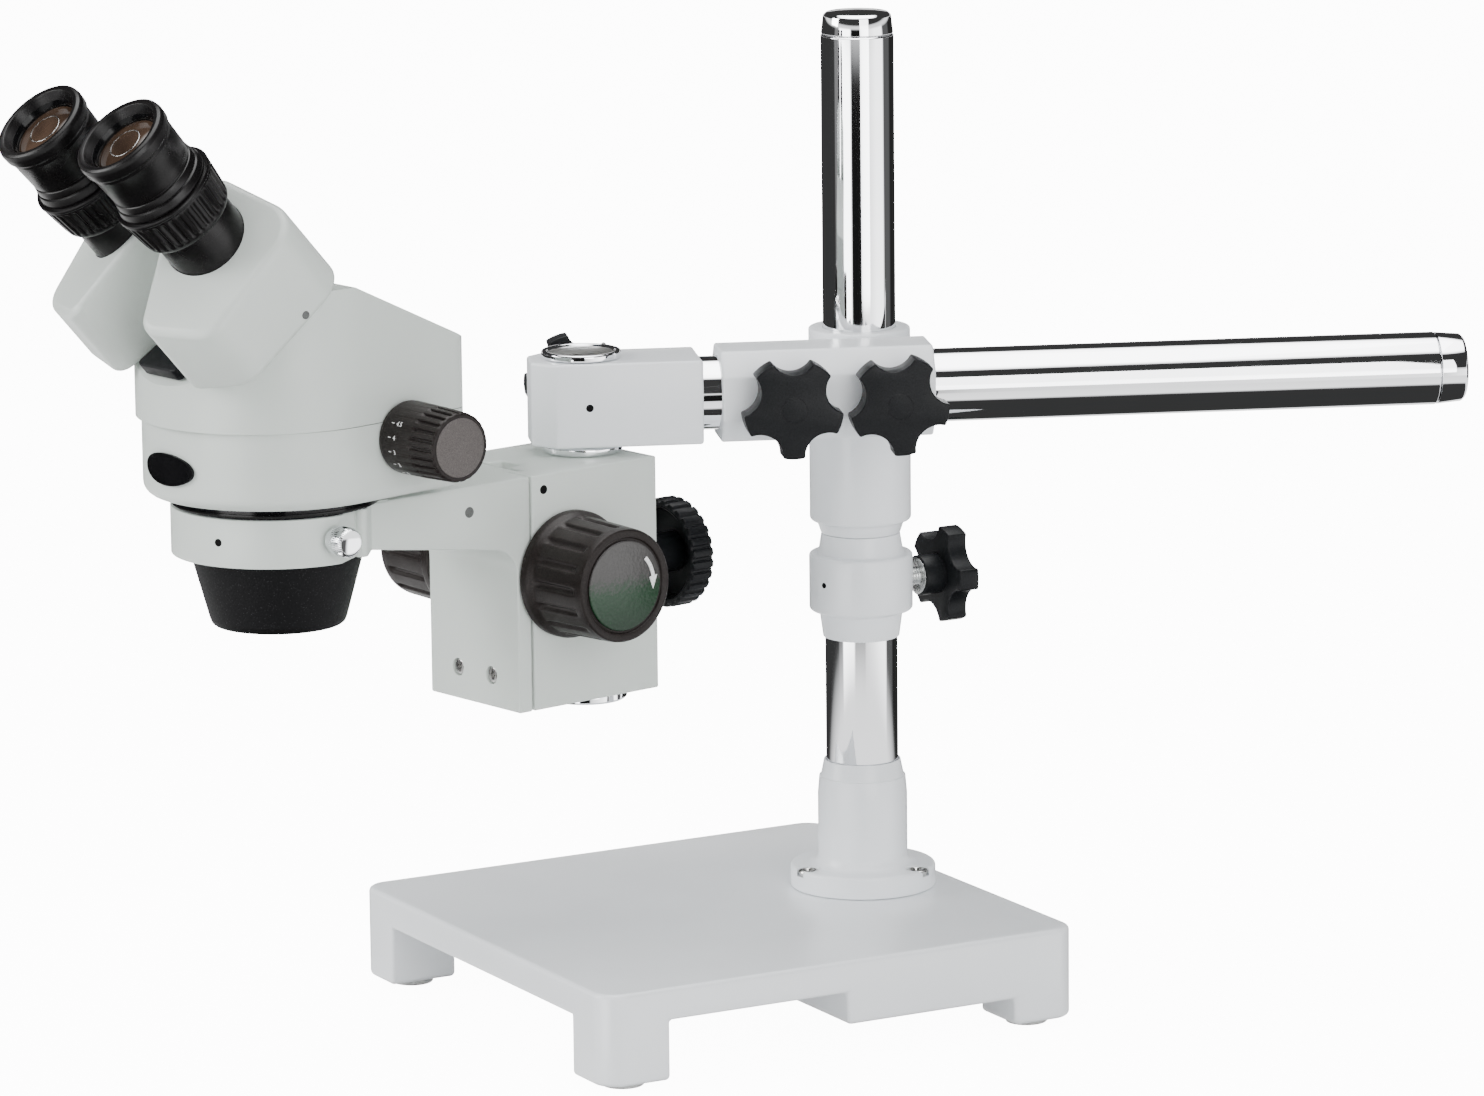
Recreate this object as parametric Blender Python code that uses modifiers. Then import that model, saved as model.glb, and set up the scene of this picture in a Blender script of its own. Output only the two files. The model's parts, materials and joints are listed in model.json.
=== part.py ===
"""Stereo microscope on a single-arm boom stand, built piece by piece.

The sizes below are in millimetres and MM turns them into Blender's metres. Heights are measured from the
top face of the base plate. The user sits on the -Y side, with the user's right hand towards +X.
"""

import math

import bmesh
import bpy
from mathutils import Vector

MM = 0.001
GAP = 0.3  # clearance between neighbouring pieces

# Where the stand lies: the pole axis is off the middle of the whole object's plan
POLE_X, POLE_Y = -13.0, 86.4
BASE_HEIGHT = 44.0

# Rest positions of the swivel joints
ARM_YAW = math.radians(-21.3)
HEAD_YAW = math.radians(11.5)

ALONG_X = (0.0, math.pi / 2, 0.0)  # turns a piece's +Z to +X
ALONG_MINUS_X = (0.0, -math.pi / 2, 0.0)
ALONG_Y = (-math.pi / 2, 0.0, 0.0)
ALONG_MINUS_Y = (math.pi / 2, 0.0, 0.0)
SIDE_VIEW = (math.pi / 2, 0.0, math.pi / 2)  # stands a profile (y, z) up and extrudes it along X

# Base plate
BASE_HALF_WIDTH, BASE_FRONT, BASE_REAR = 116.0, -192.5, 41.5
BASE_CORNER, BASE_EDGE = 11.0, 2.0
SKIRT_DEPTH, BLOCK_DEPTH, LEG_DEPTH = 14.4, 28.6, 40.5
LEG_WIDTH, LEG_LENGTH, BLOCK_FRONT = 30.0, 32.0, -74.0
FOOT_RADIUS = 9.5

# Pole and its socket
POLE_RADIUS, TUBE_WALL, BORE = 16.0, 2.5, 16.3
POLE_TOP = 381.5
SOCKET_FLANGE, SOCKET_BODY, SOCKET_TOP = 32.3, 19.9, 57.5
SOCKET_SCREW_CIRCLE = 27.8
SOCKET_SCREW_ANGLES = (-90.0, 30.0, 150.0)

# Lobed hand knobs
STAR_RADIUS = 21.7
SCOOP_RADIUS, SCOOP_DISTANCE = 0.39, 1.07  # shares of the knob's radius
ROD_RADIUS, ROD_HOLE = 4.0, 4.3

# Safety collar
COLLAR_BOTTOM, COLLAR_TOP = 113.2, 160.0
COLLAR_RING, COLLAR_SCREW_Z = 22.9, 137.0

# Cross clamp and boom arm, in a frame turned by ARM_YAW about the pole
ARM_X, ARM_Z = 36.0, 231.2
SLEEVE_HALF, SLEEVE_FRONT, SLEEVE_REAR = 20.0, -67.8, 25.3
CLAMP_TOP = 252.0
ARM_KNOB_Y = (-39.7, 6.4)
ARM_KNOB_Z = 229.5
ARM_KNOB_TURN = (0.0, math.radians(6.0))
ARM_FRONT, ARM_REAR, ARM_CAP_END = -110.0, 250.0, 263.5

# Swivel block at the front of the arm
BLOCK_HALF, BLOCK_LOW, BLOCK_HIGH = 18.5, 211.8, 248.7
BLOCK_NOSE, BLOCK_TAIL = -150.0, -76.0
PIN_Y, PIN_RADIUS = -127.1, 8.0
SWIVEL_SCREW_Z = 232.5

# Focus housing, in a frame turned by HEAD_YAW about the swivel pin
HOUSING_HALF, HOUSING_FRONT, HOUSING_REAR = 30.8, -54.0, 16.0
HOUSING_LOW, HOUSING_HIGH = 105.0, 207.5
PINION_Y, PINION_Z = -34.0, 163.0
PITCH_RADIUS, PINION_TEETH = 7.0, 14
LOCK_KNOB_Z = 156.2
FOCUS_KNOB_LENGTH = 38.0

# Carriage and head, in a frame on the axis of the mounting ring
RING_FORWARD = 166.0  # from the swivel pin to the ring's axis
RING_RADIUS, RING_BORE, RING_LOW, RING_HIGH = 44.5, 38.0, 187.5, 208.0
PLATE_FRONT, PLATE_REAR = 104.5, 111.7
STEP_DOWN = 0.5  # from the ring's top face to the arm's
SEAM_Z, UPPER_TOP = 246.5, 306.0
HEAD_RADIUS, BROW = 55.5, 3.0  # the upper housing's round front stands BROW ahead of the lower one's
REAR_HALF, REAR_Y, REAR_CORNER, SHELL_WALL = 50.5, 66.0, 10.0, 3.0
ZOOM_Y, ZOOM_Z, ZOOM_INNER, ZOOM_OUTER, ZOOM_RADIUS = 28.0, 239.2, 54.9, 90.0, 14.7
ZOOM_SHAFT_HOLE = 3.4
THUMB_Y, THUMB_Z = -4.0, 198.5
CARRIAGE_SCREW_X, CARRIAGE_SCREW_Z = (-11.5, 11.5), 119.0

# Eyepieces and prism housings, in frames on the eyepiece axes
EYE_HALF_DISTANCE, EYE_Y, EYE_Z = 28.0, -53.5, 328.2
EYE_ELEVATION = math.radians(48.0)
PRISM_DEPTH, PRISM_WALL = 43.0, 3.5
FACE_RISE, FACE_OUTWARD, FACE_UPWARD = 1.0, -0.26, 0.12  # the front face slopes down outwards and down the front
PRISM_OUTLINE = (
    (-14.5, 28.0, 9.0),
    (37.0, 24.0, 16.0),
    (29.0, -39.0, 13.0),
    (-4.5, -47.5, 8.0),
    (-21.5, -3.0, 26.0),
)
EYE_TUBE_RADIUS = 17.6

PARTS = "stereo_microscope"
CUTTERS = "stereo_microscope_cutters"


# ---------------------------------------------------------------- scene, materials and frames


def clear_scene():
    for obj in list(bpy.data.objects):
        bpy.data.objects.remove(obj, do_unlink=True)


def collection(name):
    """A new collection under the scene's own."""
    made = bpy.data.collections.new(name)
    bpy.context.scene.collection.children.link(made)
    return made


def paint(name, colour, roughness, metallic=0.0):
    material = bpy.data.materials.new(name)
    material.use_nodes = True
    shader = material.node_tree.nodes["Principled BSDF"]
    shader.inputs["Base Color"].default_value = (*colour, 1.0)
    shader.inputs["Roughness"].default_value = roughness
    shader.inputs["Metallic"].default_value = metallic
    material.diffuse_color = (*colour, 1.0)
    return material


def frame(name, location, rotation=(0.0, 0.0, 0.0), parent=None):
    """An empty that a group of pieces is built on."""
    empty = bpy.data.objects.new(name, None)
    empty.location = Vector(location) * MM
    empty.rotation_euler = rotation
    empty.parent = parent
    empty.empty_display_size = 20 * MM
    parts.objects.link(empty)
    return empty


def place(obj, parent, location=(0.0, 0.0, 0.0), rotation=(0.0, 0.0, 0.0), material=None):
    obj.parent = parent
    obj.location = Vector(location) * MM
    obj.rotation_euler = rotation
    if material is not None:
        obj.data.materials.clear()
        obj.data.materials.append(material)
    return obj


# ---------------------------------------------------------------- shapes


def turned(name, profile, segments=20, ring=False):
    """A turned piece. The profile (radius, height) runs down the outer side; a ring's comes back up inside."""
    mesh = bpy.data.meshes.new(name)
    points = [(r * MM, 0.0, z * MM) for r, z in profile]
    edges = [(i, i + 1) for i in range(len(points) - 1)]
    if ring:
        edges.append((len(points) - 1, 0))
    mesh.from_pydata(points, edges, [])
    obj = bpy.data.objects.new(name, mesh)
    parts.objects.link(obj)
    screw = obj.modifiers.new("Turn", "SCREW")
    screw.axis = "Z"
    screw.angle = 2 * math.pi
    screw.steps = segments
    screw.render_steps = segments
    screw.use_merge_vertices = True
    screw.merge_threshold = 0.00001
    screw.use_smooth_shade = True
    return obj


def disc(name, radius, low, high, segments=20, chamfer=0.0):
    if chamfer <= 0.0:
        return turned(name, [(0, high), (radius, high), (radius, low), (0, low)], segments)
    edge = radius - chamfer
    profile = [(0, high), (edge, high), (radius, high - chamfer)]
    profile += [(radius, low + chamfer), (edge, low), (0, low)]
    return turned(name, profile, segments)


def box(name, low, high, bevel=0.0, segments=2):
    mesh = bpy.data.meshes.new(name)
    bm = bmesh.new()
    bmesh.ops.create_cube(bm, size=1.0)
    for vertex in bm.verts:
        for axis in range(3):
            middle = (low[axis] + high[axis]) / 2
            vertex.co[axis] = (middle + vertex.co[axis] * (high[axis] - low[axis])) * MM
    bm.to_mesh(mesh)
    bm.free()
    obj = bpy.data.objects.new(name, mesh)
    parts.objects.link(obj)
    if bevel:
        round_edges(obj, bevel, segments)
    return obj


def round_edges(obj, width, segments=2, angle=30.0):
    bevel = obj.modifiers.new("Round", "BEVEL")
    bevel.width = width * MM
    bevel.segments = segments
    bevel.limit_method = "ANGLE"
    bevel.angle_limit = math.radians(angle)


def filleted(corners, step=12.0):
    """An outline whose corners (x, y, radius) are rounded by arcs."""
    outline = []
    count = len(corners)
    for i, (x, y, radius) in enumerate(corners):
        here = Vector((x, y))
        before = (Vector(corners[i - 1][:2]) - here).normalized()
        after = (Vector(corners[(i + 1) % count][:2]) - here).normalized()
        if radius <= 0.0:
            outline.append((x, y))
            continue
        half = before.angle(after) / 2
        start = here + before * (radius / math.tan(half))
        centre = here + (before + after).normalized() * (radius / math.sin(half))
        turn = math.pi - 2 * half
        sign = 1.0 if before.x * after.y - before.y * after.x < 0 else -1.0
        steps = max(1, round(math.degrees(turn) / step))
        for k in range(steps + 1):
            angle = sign * turn * k / steps
            arm = start - centre
            spoke = Vector(
                (
                    arm.x * math.cos(angle) - arm.y * math.sin(angle),
                    arm.x * math.sin(angle) + arm.y * math.cos(angle),
                )
            )
            outline.append(tuple(centre + spoke))
    return outline


def extruded(name, outline, low, high, bevel=0.0, segments=2):
    """A flat outline given a thickness along Z."""
    curve = bpy.data.curves.new(name, "CURVE")
    curve.dimensions = "2D"
    curve.fill_mode = "BOTH"
    curve.extrude = (high - low) / 2 * MM
    spline = curve.splines.new("POLY")
    spline.points.add(len(outline) - 1)
    for point, (x, y) in zip(spline.points, outline):
        point.co = (x * MM, y * MM, 0.0, 1.0)
    spline.use_cyclic_u = True
    flat = bpy.data.objects.new(name + "_outline", curve)
    bpy.context.scene.collection.objects.link(flat)
    graph = bpy.context.evaluated_depsgraph_get()
    mesh = bpy.data.meshes.new_from_object(flat.evaluated_get(graph))
    bpy.data.objects.remove(flat, do_unlink=True)
    bm = bmesh.new()
    bm.from_mesh(mesh)
    bmesh.ops.remove_doubles(bm, verts=bm.verts, dist=0.000001)
    bmesh.ops.dissolve_limit(bm, angle_limit=math.radians(0.5), verts=bm.verts, edges=bm.edges)
    bmesh.ops.translate(bm, verts=bm.verts, vec=(0.0, 0.0, (low + high) / 2 * MM))
    bmesh.ops.recalc_face_normals(bm, faces=bm.faces)
    bm.to_mesh(mesh)
    bm.free()
    obj = bpy.data.objects.new(name, mesh)
    parts.objects.link(obj)
    if bevel:
        round_edges(obj, bevel, segments)
    return obj


def star_outline(radius, turn=0.0, lobes=5, points=40):
    """Outline of a lobed hand knob: a disc with a round scoop between each pair of lobes."""
    scoop, away = SCOOP_RADIUS * radius, SCOOP_DISTANCE * radius
    outline = []
    for i in range(points):
        angle = 2 * math.pi * i / points
        side = angle % (2 * math.pi / lobes) - math.pi / lobes
        depth = scoop**2 - (away * math.sin(side)) ** 2
        reach = radius
        if depth > 0:
            reach = min(radius, away * math.cos(side) - math.sqrt(depth))
        outline.append((reach * math.cos(angle + turn), reach * math.sin(angle + turn)))
    return outline


def gear_outline(pitch, teeth, addendum, dedendum, half_tip, half_root):
    """Straight-sided teeth, thinned so that they run with backlash."""
    outline = []
    for i in range(teeth):
        middle = 2 * math.pi * i / teeth
        corners = (
            (pitch - dedendum, -half_root),
            (pitch + addendum, -half_tip),
            (pitch + addendum, half_tip),
            (pitch - dedendum, half_root),
        )
        for reach, across in corners:
            outline.append(
                (
                    reach * math.cos(middle) - across * math.sin(middle),
                    reach * math.sin(middle) + across * math.cos(middle),
                )
            )
    return outline


def combine(obj, other, operation):
    boolean = obj.modifiers.new(operation.title(), "BOOLEAN")
    boolean.operation = operation
    boolean.object = other
    boolean.solver = "EXACT"
    for home in list(other.users_collection):
        home.objects.unlink(other)
    cutters.objects.link(other)
    other.hide_render = True
    other.display_type = "WIRE"
    return obj


def cut(obj, other):
    return combine(obj, other, "DIFFERENCE")


def join(obj, other):
    return combine(obj, other, "UNION")


def hole(obj, parent, radius, low, high, location, rotation=(0.0, 0.0, 0.0), segments=16):
    """A round hole along a piece's own +Z, from low to high."""
    drill = disc(f"{obj.name}_hole_{len(obj.modifiers)}", radius, low, high, segments)
    place(drill, parent, location, rotation)
    return cut(obj, drill)


# ---------------------------------------------------------------- the stand


def base_plate():
    corners = [
        (-BASE_HALF_WIDTH, BASE_FRONT, BASE_CORNER),
        (BASE_HALF_WIDTH, BASE_FRONT, BASE_CORNER),
        (BASE_HALF_WIDTH, BASE_REAR, BASE_CORNER),
        (-BASE_HALF_WIDTH, BASE_REAR, BASE_CORNER),
    ]
    base = extruded("base_plate", filleted(corners), -LEG_DEPTH, 0.0, BASE_EDGE, 1)
    place(base, stand, material=enamel)
    inside = BASE_HALF_WIDTH - LEG_WIDTH
    front_leg = BASE_FRONT + LEG_LENGTH
    rear_leg = BASE_REAR - LEG_LENGTH
    below, beyond = -LEG_DEPTH - 20.0, BASE_HALF_WIDTH + 20.0
    gaps = {
        "front_arch": ((-inside, BASE_FRONT - 20, below), (inside, BLOCK_FRONT, -SKIRT_DEPTH)),
        "side_arch": ((-beyond, front_leg, below), (beyond, BLOCK_FRONT, -SKIRT_DEPTH)),
        "rear_side_arch": ((-beyond, BLOCK_FRONT - 1, below), (beyond, rear_leg, -BLOCK_DEPTH)),
        "rear_arch": ((-inside, BLOCK_FRONT - 1, below), (inside, BASE_REAR + 20, -BLOCK_DEPTH)),
    }
    for name, (low, high) in gaps.items():
        cut(base, place(box("base_" + name, low, high), stand))
    for angle in SOCKET_SCREW_ANGLES:
        turn = math.radians(angle)
        spot = (SOCKET_SCREW_CIRCLE * math.cos(turn), SOCKET_SCREW_CIRCLE * math.sin(turn), 0.0)
        hole(base, stand, 2.6, -12.0, 5.0, spot, segments=12)


def rubber_feet():
    profile = [(0, -GAP), (FOOT_RADIUS - 1.5, -GAP), (FOOT_RADIUS, -1.2)]
    profile += [(FOOT_RADIUS - 0.8, LEG_DEPTH - BASE_HEIGHT), (0, LEG_DEPTH - BASE_HEIGHT)]
    across = BASE_HALF_WIDTH - LEG_WIDTH / 2 - 1
    spots = {
        "foot_front_left": (-across, BASE_FRONT + LEG_LENGTH / 2 + 1),
        "foot_front_right": (across, BASE_FRONT + LEG_LENGTH / 2 + 1),
        "foot_rear_left": (-across, BASE_REAR - LEG_LENGTH / 2 - 1),
        "foot_rear_right": (across, BASE_REAR - LEG_LENGTH / 2 - 1),
    }
    for name, (x, y) in spots.items():
        foot = turned(name, profile, 20)
        place(foot, stand, (x, y, -LEG_DEPTH), material=rubber)


def pole_socket():
    profile = [
        (17.2, SOCKET_TOP),
        (18.4, 50.0),
        (SOCKET_BODY, 42.0),
        (SOCKET_BODY, 14.0),
        (21.0, 11.2),
        (23.5, 10.0),
        (SOCKET_FLANGE - 1.2, 10.0),
        (SOCKET_FLANGE, 8.8),
        (SOCKET_FLANGE, GAP),
        (BORE, GAP),
        (BORE, SOCKET_TOP),
    ]
    socket = turned("pole_socket", profile, 28, ring=True)
    place(socket, stand, material=enamel)
    for i, angle in enumerate(SOCKET_SCREW_ANGLES):
        turn = math.radians(angle)
        spot = (SOCKET_SCREW_CIRCLE * math.cos(turn), SOCKET_SCREW_CIRCLE * math.sin(turn), 0.0)
        well = turned(
            f"socket_screw_well_{i + 1}",
            [(0, 12.0), (5.2, 12.0), (5.2, 9.4), (2.9, 6.0), (2.9, -2.0), (0, -2.0)],
            16,
        )
        cut(socket, place(well, stand, spot))
        screw_profile = [(0, 7.4), (1.9, 7.4), (1.9, 9.3), (4.8, 9.3), (2.4, 5.8), (2.4, -10.0), (0, -10.0)]
        screw = turned(f"socket_screw_{i + 1}", screw_profile, 16)
        place(screw, stand, spot, material=steel)


def pole():
    tube_profile = [
        (POLE_RADIUS - 0.6, POLE_TOP),
        (POLE_RADIUS, POLE_TOP - 0.6),
        (POLE_RADIUS, 0.6),
        (POLE_RADIUS - TUBE_WALL, 0.6),
        (POLE_RADIUS - TUBE_WALL, POLE_TOP),
    ]
    place(turned("pole", tube_profile, 28, ring=True), stand, material=chrome)
    plug = POLE_RADIUS - TUBE_WALL - GAP
    low = POLE_TOP + GAP
    cap_profile = [
        (0, low + 10.2),
        (9.0, low + 9.9),
        (13.2, low + 8.9),
        (14.5, low + 7.8),
        (15.8, low),
        (plug, low),
        (plug, low - 9.0),
        (0, low - 9.0),
    ]
    place(turned("pole_cap", cap_profile, 28), stand, material=chrome)


# ---------------------------------------------------------------- the safety collar


def safety_collar():
    profile = [
        (17.4, COLLAR_TOP),
        (18.7, 151.6),
        (COLLAR_RING - 0.8, 151.0),
        (COLLAR_RING, 150.2),
        (COLLAR_RING, 126.2),
        (COLLAR_RING - 0.8, 125.4),
        (18.4, 125.0),
        (17.0, COLLAR_BOTTOM),
        (BORE, COLLAR_BOTTOM),
        (BORE, COLLAR_TOP),
    ]
    collar = turned("safety_collar", profile, 28, ring=True)
    place(collar, stand, material=enamel)
    spot = (0, 0, COLLAR_SCREW_Z)
    hole(collar, stand, ROD_HOLE, 10.0, 30.0, spot, ALONG_Y, 20)
    hand_screw("collar", stand, spot, ALONG_Y, (28.5, 38.5, 48.0), 0.0)


def hand_screw(name, parent, location, rotation, heights, turn):
    """A lobed hand knob on its threaded rod. The heights along +Z are the hub's end and the knob's two faces."""
    hub, face, back = heights
    rod_end = hub + 12.0
    rod = disc(f"{name}_screw_rod", ROD_RADIUS, POLE_RADIUS + 2 * GAP, rod_end, 16, 0.6)
    place(rod, parent, location, rotation, zinc)
    knob = extruded(f"{name}_knob", star_outline(STAR_RADIUS, turn), face, back, 1.6, 1)
    place(knob, parent, location, rotation, black_satin)
    sleeve = turned(
        f"{name}_knob_hub", [(0, face + 2), (9.0, face + 2), (9.0, hub + 0.8), (8.2, hub), (0, hub)], 24
    )
    join(knob, place(sleeve, parent, location, rotation))
    hole(knob, parent, ROD_HOLE, hub - 5.0, rod_end + GAP, location, rotation, 16)


# ---------------------------------------------------------------- the cross clamp and the arm


def cross_clamp():
    column_profile = [
        (0, CLAMP_TOP),
        (21.8, CLAMP_TOP),
        (22.4, CLAMP_TOP - 0.6),
        (22.4, 166.6),
        (21.6, 165.8),
        (19.2, 165.4),
        (17.6, COLLAR_TOP + GAP),
        (0, COLLAR_TOP + GAP),
    ]
    clamp = turned("cross_clamp", column_profile, 28)
    place(clamp, arm, material=enamel)
    half, rise = SLEEVE_HALF, 10.5
    run = 8.0
    section = [
        (-half, -half + rise, 1.5),
        (-half + run, -half, 2.5),
        (half - run, -half, 2.5),
        (half, -half + rise, 1.5),
        (half, half - rise, 1.5),
        (half - run, half, 2.5),
        (-half + run, half, 2.5),
        (-half, half - rise, 1.5),
    ]
    length = SLEEVE_REAR - SLEEVE_FRONT
    sleeve = extruded("clamp_sleeve", filleted(section, 25), 0.0, length, 1.0, 1)
    join(clamp, place(sleeve, arm, (ARM_X, SLEEVE_REAR, ARM_Z), ALONG_MINUS_Y))
    hole(clamp, arm, BORE, 140.0, 270.0, (0, 0, 0), segments=28)
    hole(clamp, arm, BORE, -90.0, 50.0, (ARM_X, 0, ARM_Z), ALONG_Y, 28)
    for side, y, turn in zip(("front", "rear"), ARM_KNOB_Y, ARM_KNOB_TURN):
        spot = (ARM_X, y, ARM_KNOB_Z)
        hole(clamp, arm, ROD_HOLE, 10.0, 30.0, spot, ALONG_X, 20)
        hand_screw(f"arm_{side}", arm, spot, ALONG_X, (21.0, 27.0, 40.0), turn)


def arm_tube():
    inner = POLE_RADIUS - TUBE_WALL
    profile = [
        (POLE_RADIUS - 0.6, ARM_REAR),
        (POLE_RADIUS, ARM_REAR - 0.6),
        (POLE_RADIUS, ARM_FRONT),
        (inner, ARM_FRONT),
        (inner, ARM_REAR),
    ]
    tube = turned("arm_tube", profile, 28, ring=True)
    place(tube, arm, (ARM_X, 0, ARM_Z), ALONG_Y, chrome)
    low = ARM_REAR + GAP
    plug = inner - GAP
    cap_profile = [
        (0, ARM_CAP_END),
        (9.0, ARM_CAP_END - 0.3),
        (13.4, ARM_CAP_END - 1.2),
        (14.7, ARM_CAP_END - 2.4),
        (15.8, low),
        (plug, low),
        (plug, low - 9.0),
        (0, low - 9.0),
    ]
    place(turned("arm_end_cap", cap_profile, 28), arm, (ARM_X, 0, ARM_Z), ALONG_Y, chrome)


def swivel_block():
    chamfer = 10.0
    outline = [
        (ARM_X - BLOCK_HALF, BLOCK_TAIL, 1.5),
        (ARM_X - BLOCK_HALF, BLOCK_NOSE + chamfer, 2.0),
        (ARM_X - BLOCK_HALF + chamfer, BLOCK_NOSE, 2.0),
        (ARM_X + BLOCK_HALF - chamfer, BLOCK_NOSE, 2.0),
        (ARM_X + BLOCK_HALF, BLOCK_NOSE + chamfer, 2.0),
        (ARM_X + BLOCK_HALF, BLOCK_TAIL, 1.5),
    ]
    block = extruded("swivel_block", filleted(outline, 25), BLOCK_LOW, BLOCK_HIGH, 1.2, 2)
    place(block, arm, material=enamel)
    hole(block, arm, BORE, ARM_FRONT - 1.0, -60.0, (ARM_X, 0, ARM_Z), ALONG_Y, 28)
    hole(block, arm, PIN_RADIUS + GAP, 200.0, 260.0, (ARM_X, PIN_Y, 0), segments=20)
    screw_spot = (ARM_X, PIN_Y, SWIVEL_SCREW_Z)
    hole(block, arm, 3.3, PIN_RADIUS, 30.0, screw_spot, ALONG_MINUS_X, 16)
    knob_face = BLOCK_HALF + 6.0
    outline = star_outline(STAR_RADIUS, math.radians(-20.0))
    knob = extruded("swivel_lock_knob", outline, knob_face, knob_face + 10.0, 1.6, 1)
    place(knob, arm, screw_spot, ALONG_MINUS_X, black_satin)
    stud = disc("swivel_lock_stud", 3.0, PIN_RADIUS + 2 * GAP, knob_face + 3.0, 16)
    join(knob, place(stud, arm, screw_spot, ALONG_MINUS_X))


# ---------------------------------------------------------------- the swivel pin and the focus housing


def swivel_pin():
    profile = [
        (0, BLOCK_HIGH + 0.2),
        (PIN_RADIUS, BLOCK_HIGH + 0.2),
        (PIN_RADIUS, 211.5),
        (16.6, 211.5),
        (17.3, 210.8),
        (17.3, 208.4),
        (16.9, HOUSING_HIGH + GAP),
        (PIN_RADIUS, HOUSING_HIGH + GAP),
        (PIN_RADIUS, 152.0),
        (0, 152.0),
    ]
    place(turned("swivel_pin", profile, 20), pin, material=chrome)
    low = BLOCK_HIGH + 0.5
    cap_profile = [
        (0, low + 2.0),
        (14.6, low + 2.0),
        (15.2, low + 2.9),
        (16.6, low + 2.9),
        (17.3, low + 2.2),
        (17.3, low),
        (0, low),
    ]
    place(turned("pin_cap", cap_profile, 24), pin, material=chrome)


def focus_housing():
    low = (-HOUSING_HALF, HOUSING_FRONT, HOUSING_LOW)
    high = (HOUSING_HALF, HOUSING_REAR, HOUSING_HIGH)
    housing = place(box("focus_housing", low, high, 1.5), pin, material=alloy)
    front = HOUSING_FRONT
    slot = extruded(
        "dovetail_slot",
        [(-13.4, front - 5), (13.4, front - 5), (13.4, front), (18.4, front + 7.5), (-18.4, front + 7.5), (-13.4, front)],
        HOUSING_LOW - 5,
        HOUSING_HIGH + 5,
    )
    cut(housing, place(slot, pin))
    channel = box(
        "rack_channel", (-7.0, front + 4, HOUSING_LOW - 5), (7.0, front + 15.0, HOUSING_HIGH + 5)
    )
    cut(housing, place(channel, pin))
    hole(housing, pin, 9.0, -7.5, 7.5, (0, PINION_Y, PINION_Z), ALONG_X, 28)
    hole(housing, pin, 5.3, -40.0, 40.0, (0, PINION_Y, PINION_Z), ALONG_X, 24)
    hole(housing, pin, PIN_RADIUS + GAP, 150.0, 220.0, (0, 0, 0), segments=20)
    hole(housing, pin, 3.8, 4.0, 30.0, (0, 0, LOCK_KNOB_Z), ALONG_Y, 20)
    nut_profile = [(0, 104.7), (10.0, 104.7), (18.0, 104.2), (18.0, 99.0), (17.0, 98.2), (6.0, 98.2), (6.0, 101.0), (0, 101.0)]
    place(turned("block_nut", nut_profile, 20), pin, material=chrome)


def lock_wheel():
    """The ribbed wheel behind the housing, dished towards it, on a screw that clamps the swivel pin."""
    rim, hub = 24.2, 9.0
    front, back = 42.4, 54.6
    profile = [
        (0, back),
        (rim - 3.0, back),
        (rim, back - 1.8),
        (rim, front + 0.8),
        (rim - 0.8, front),
        (rim - 3.2, front),
        (rim - 4.0, back - 4.0),
        (hub, back - 4.0),
        (hub - 1.0, 18.0),
        (0, 18.0),
    ]
    wheel = turned("rear_lock_knob", profile, 24)
    place(wheel, pin, (0, 0, LOCK_KNOB_Z), ALONG_Y, black_satin)
    stud = disc("rear_lock_stud", 3.5, PIN_RADIUS + 2 * GAP, 24.0, 16)
    join(wheel, place(stud, pin, (0, 0, LOCK_KNOB_Z), ALONG_Y))


def focus_drive():
    """Pinion shaft across the housing with a hand knob on each end."""
    axis = (0, PINION_Y, PINION_Z)
    reach = HOUSING_HALF + 20.0
    shaft = disc("pinion_shaft", 5.0, -reach, reach, 24)
    place(shaft, pin, axis, ALONG_X, steel)
    gear = extruded(
        "pinion_teeth", gear_outline(PITCH_RADIUS, PINION_TEETH, 0.7, 1.2, 0.35, 0.85), -6.0, 6.0
    )
    join(shaft, place(gear, pin, axis, ALONG_X))
    inner = HOUSING_HALF + 0.7
    outer = inner + FOCUS_KNOB_LENGTH
    profile = [
        (0, outer - 1.2),
        (20.6, outer - 1.2),
        (22.2, outer),
        (24.2, outer - 0.4),
        (25.0, outer - 3.0),
        (25.6, inner + 8.0),
        (27.3, inner + 5.0),
        (27.6, inner + 1.0),
        (26.8, inner),
        (5.3, inner),
        (5.3, inner + 20.3),
        (0, inner + 20.3),
    ]
    for side, rotation in (("right", ALONG_X), ("left", ALONG_MINUS_X)):
        knob = turned(f"focus_knob_{side}", profile, 24)
        place(knob, pin, axis, rotation, knob_black)
        plate = disc(f"focus_knob_disc_{side}", 19.6, outer - 0.9, outer + 0.3, 24)
        place(plate, pin, axis, rotation, disc_gloss)


# ---------------------------------------------------------------- the carriage


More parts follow.
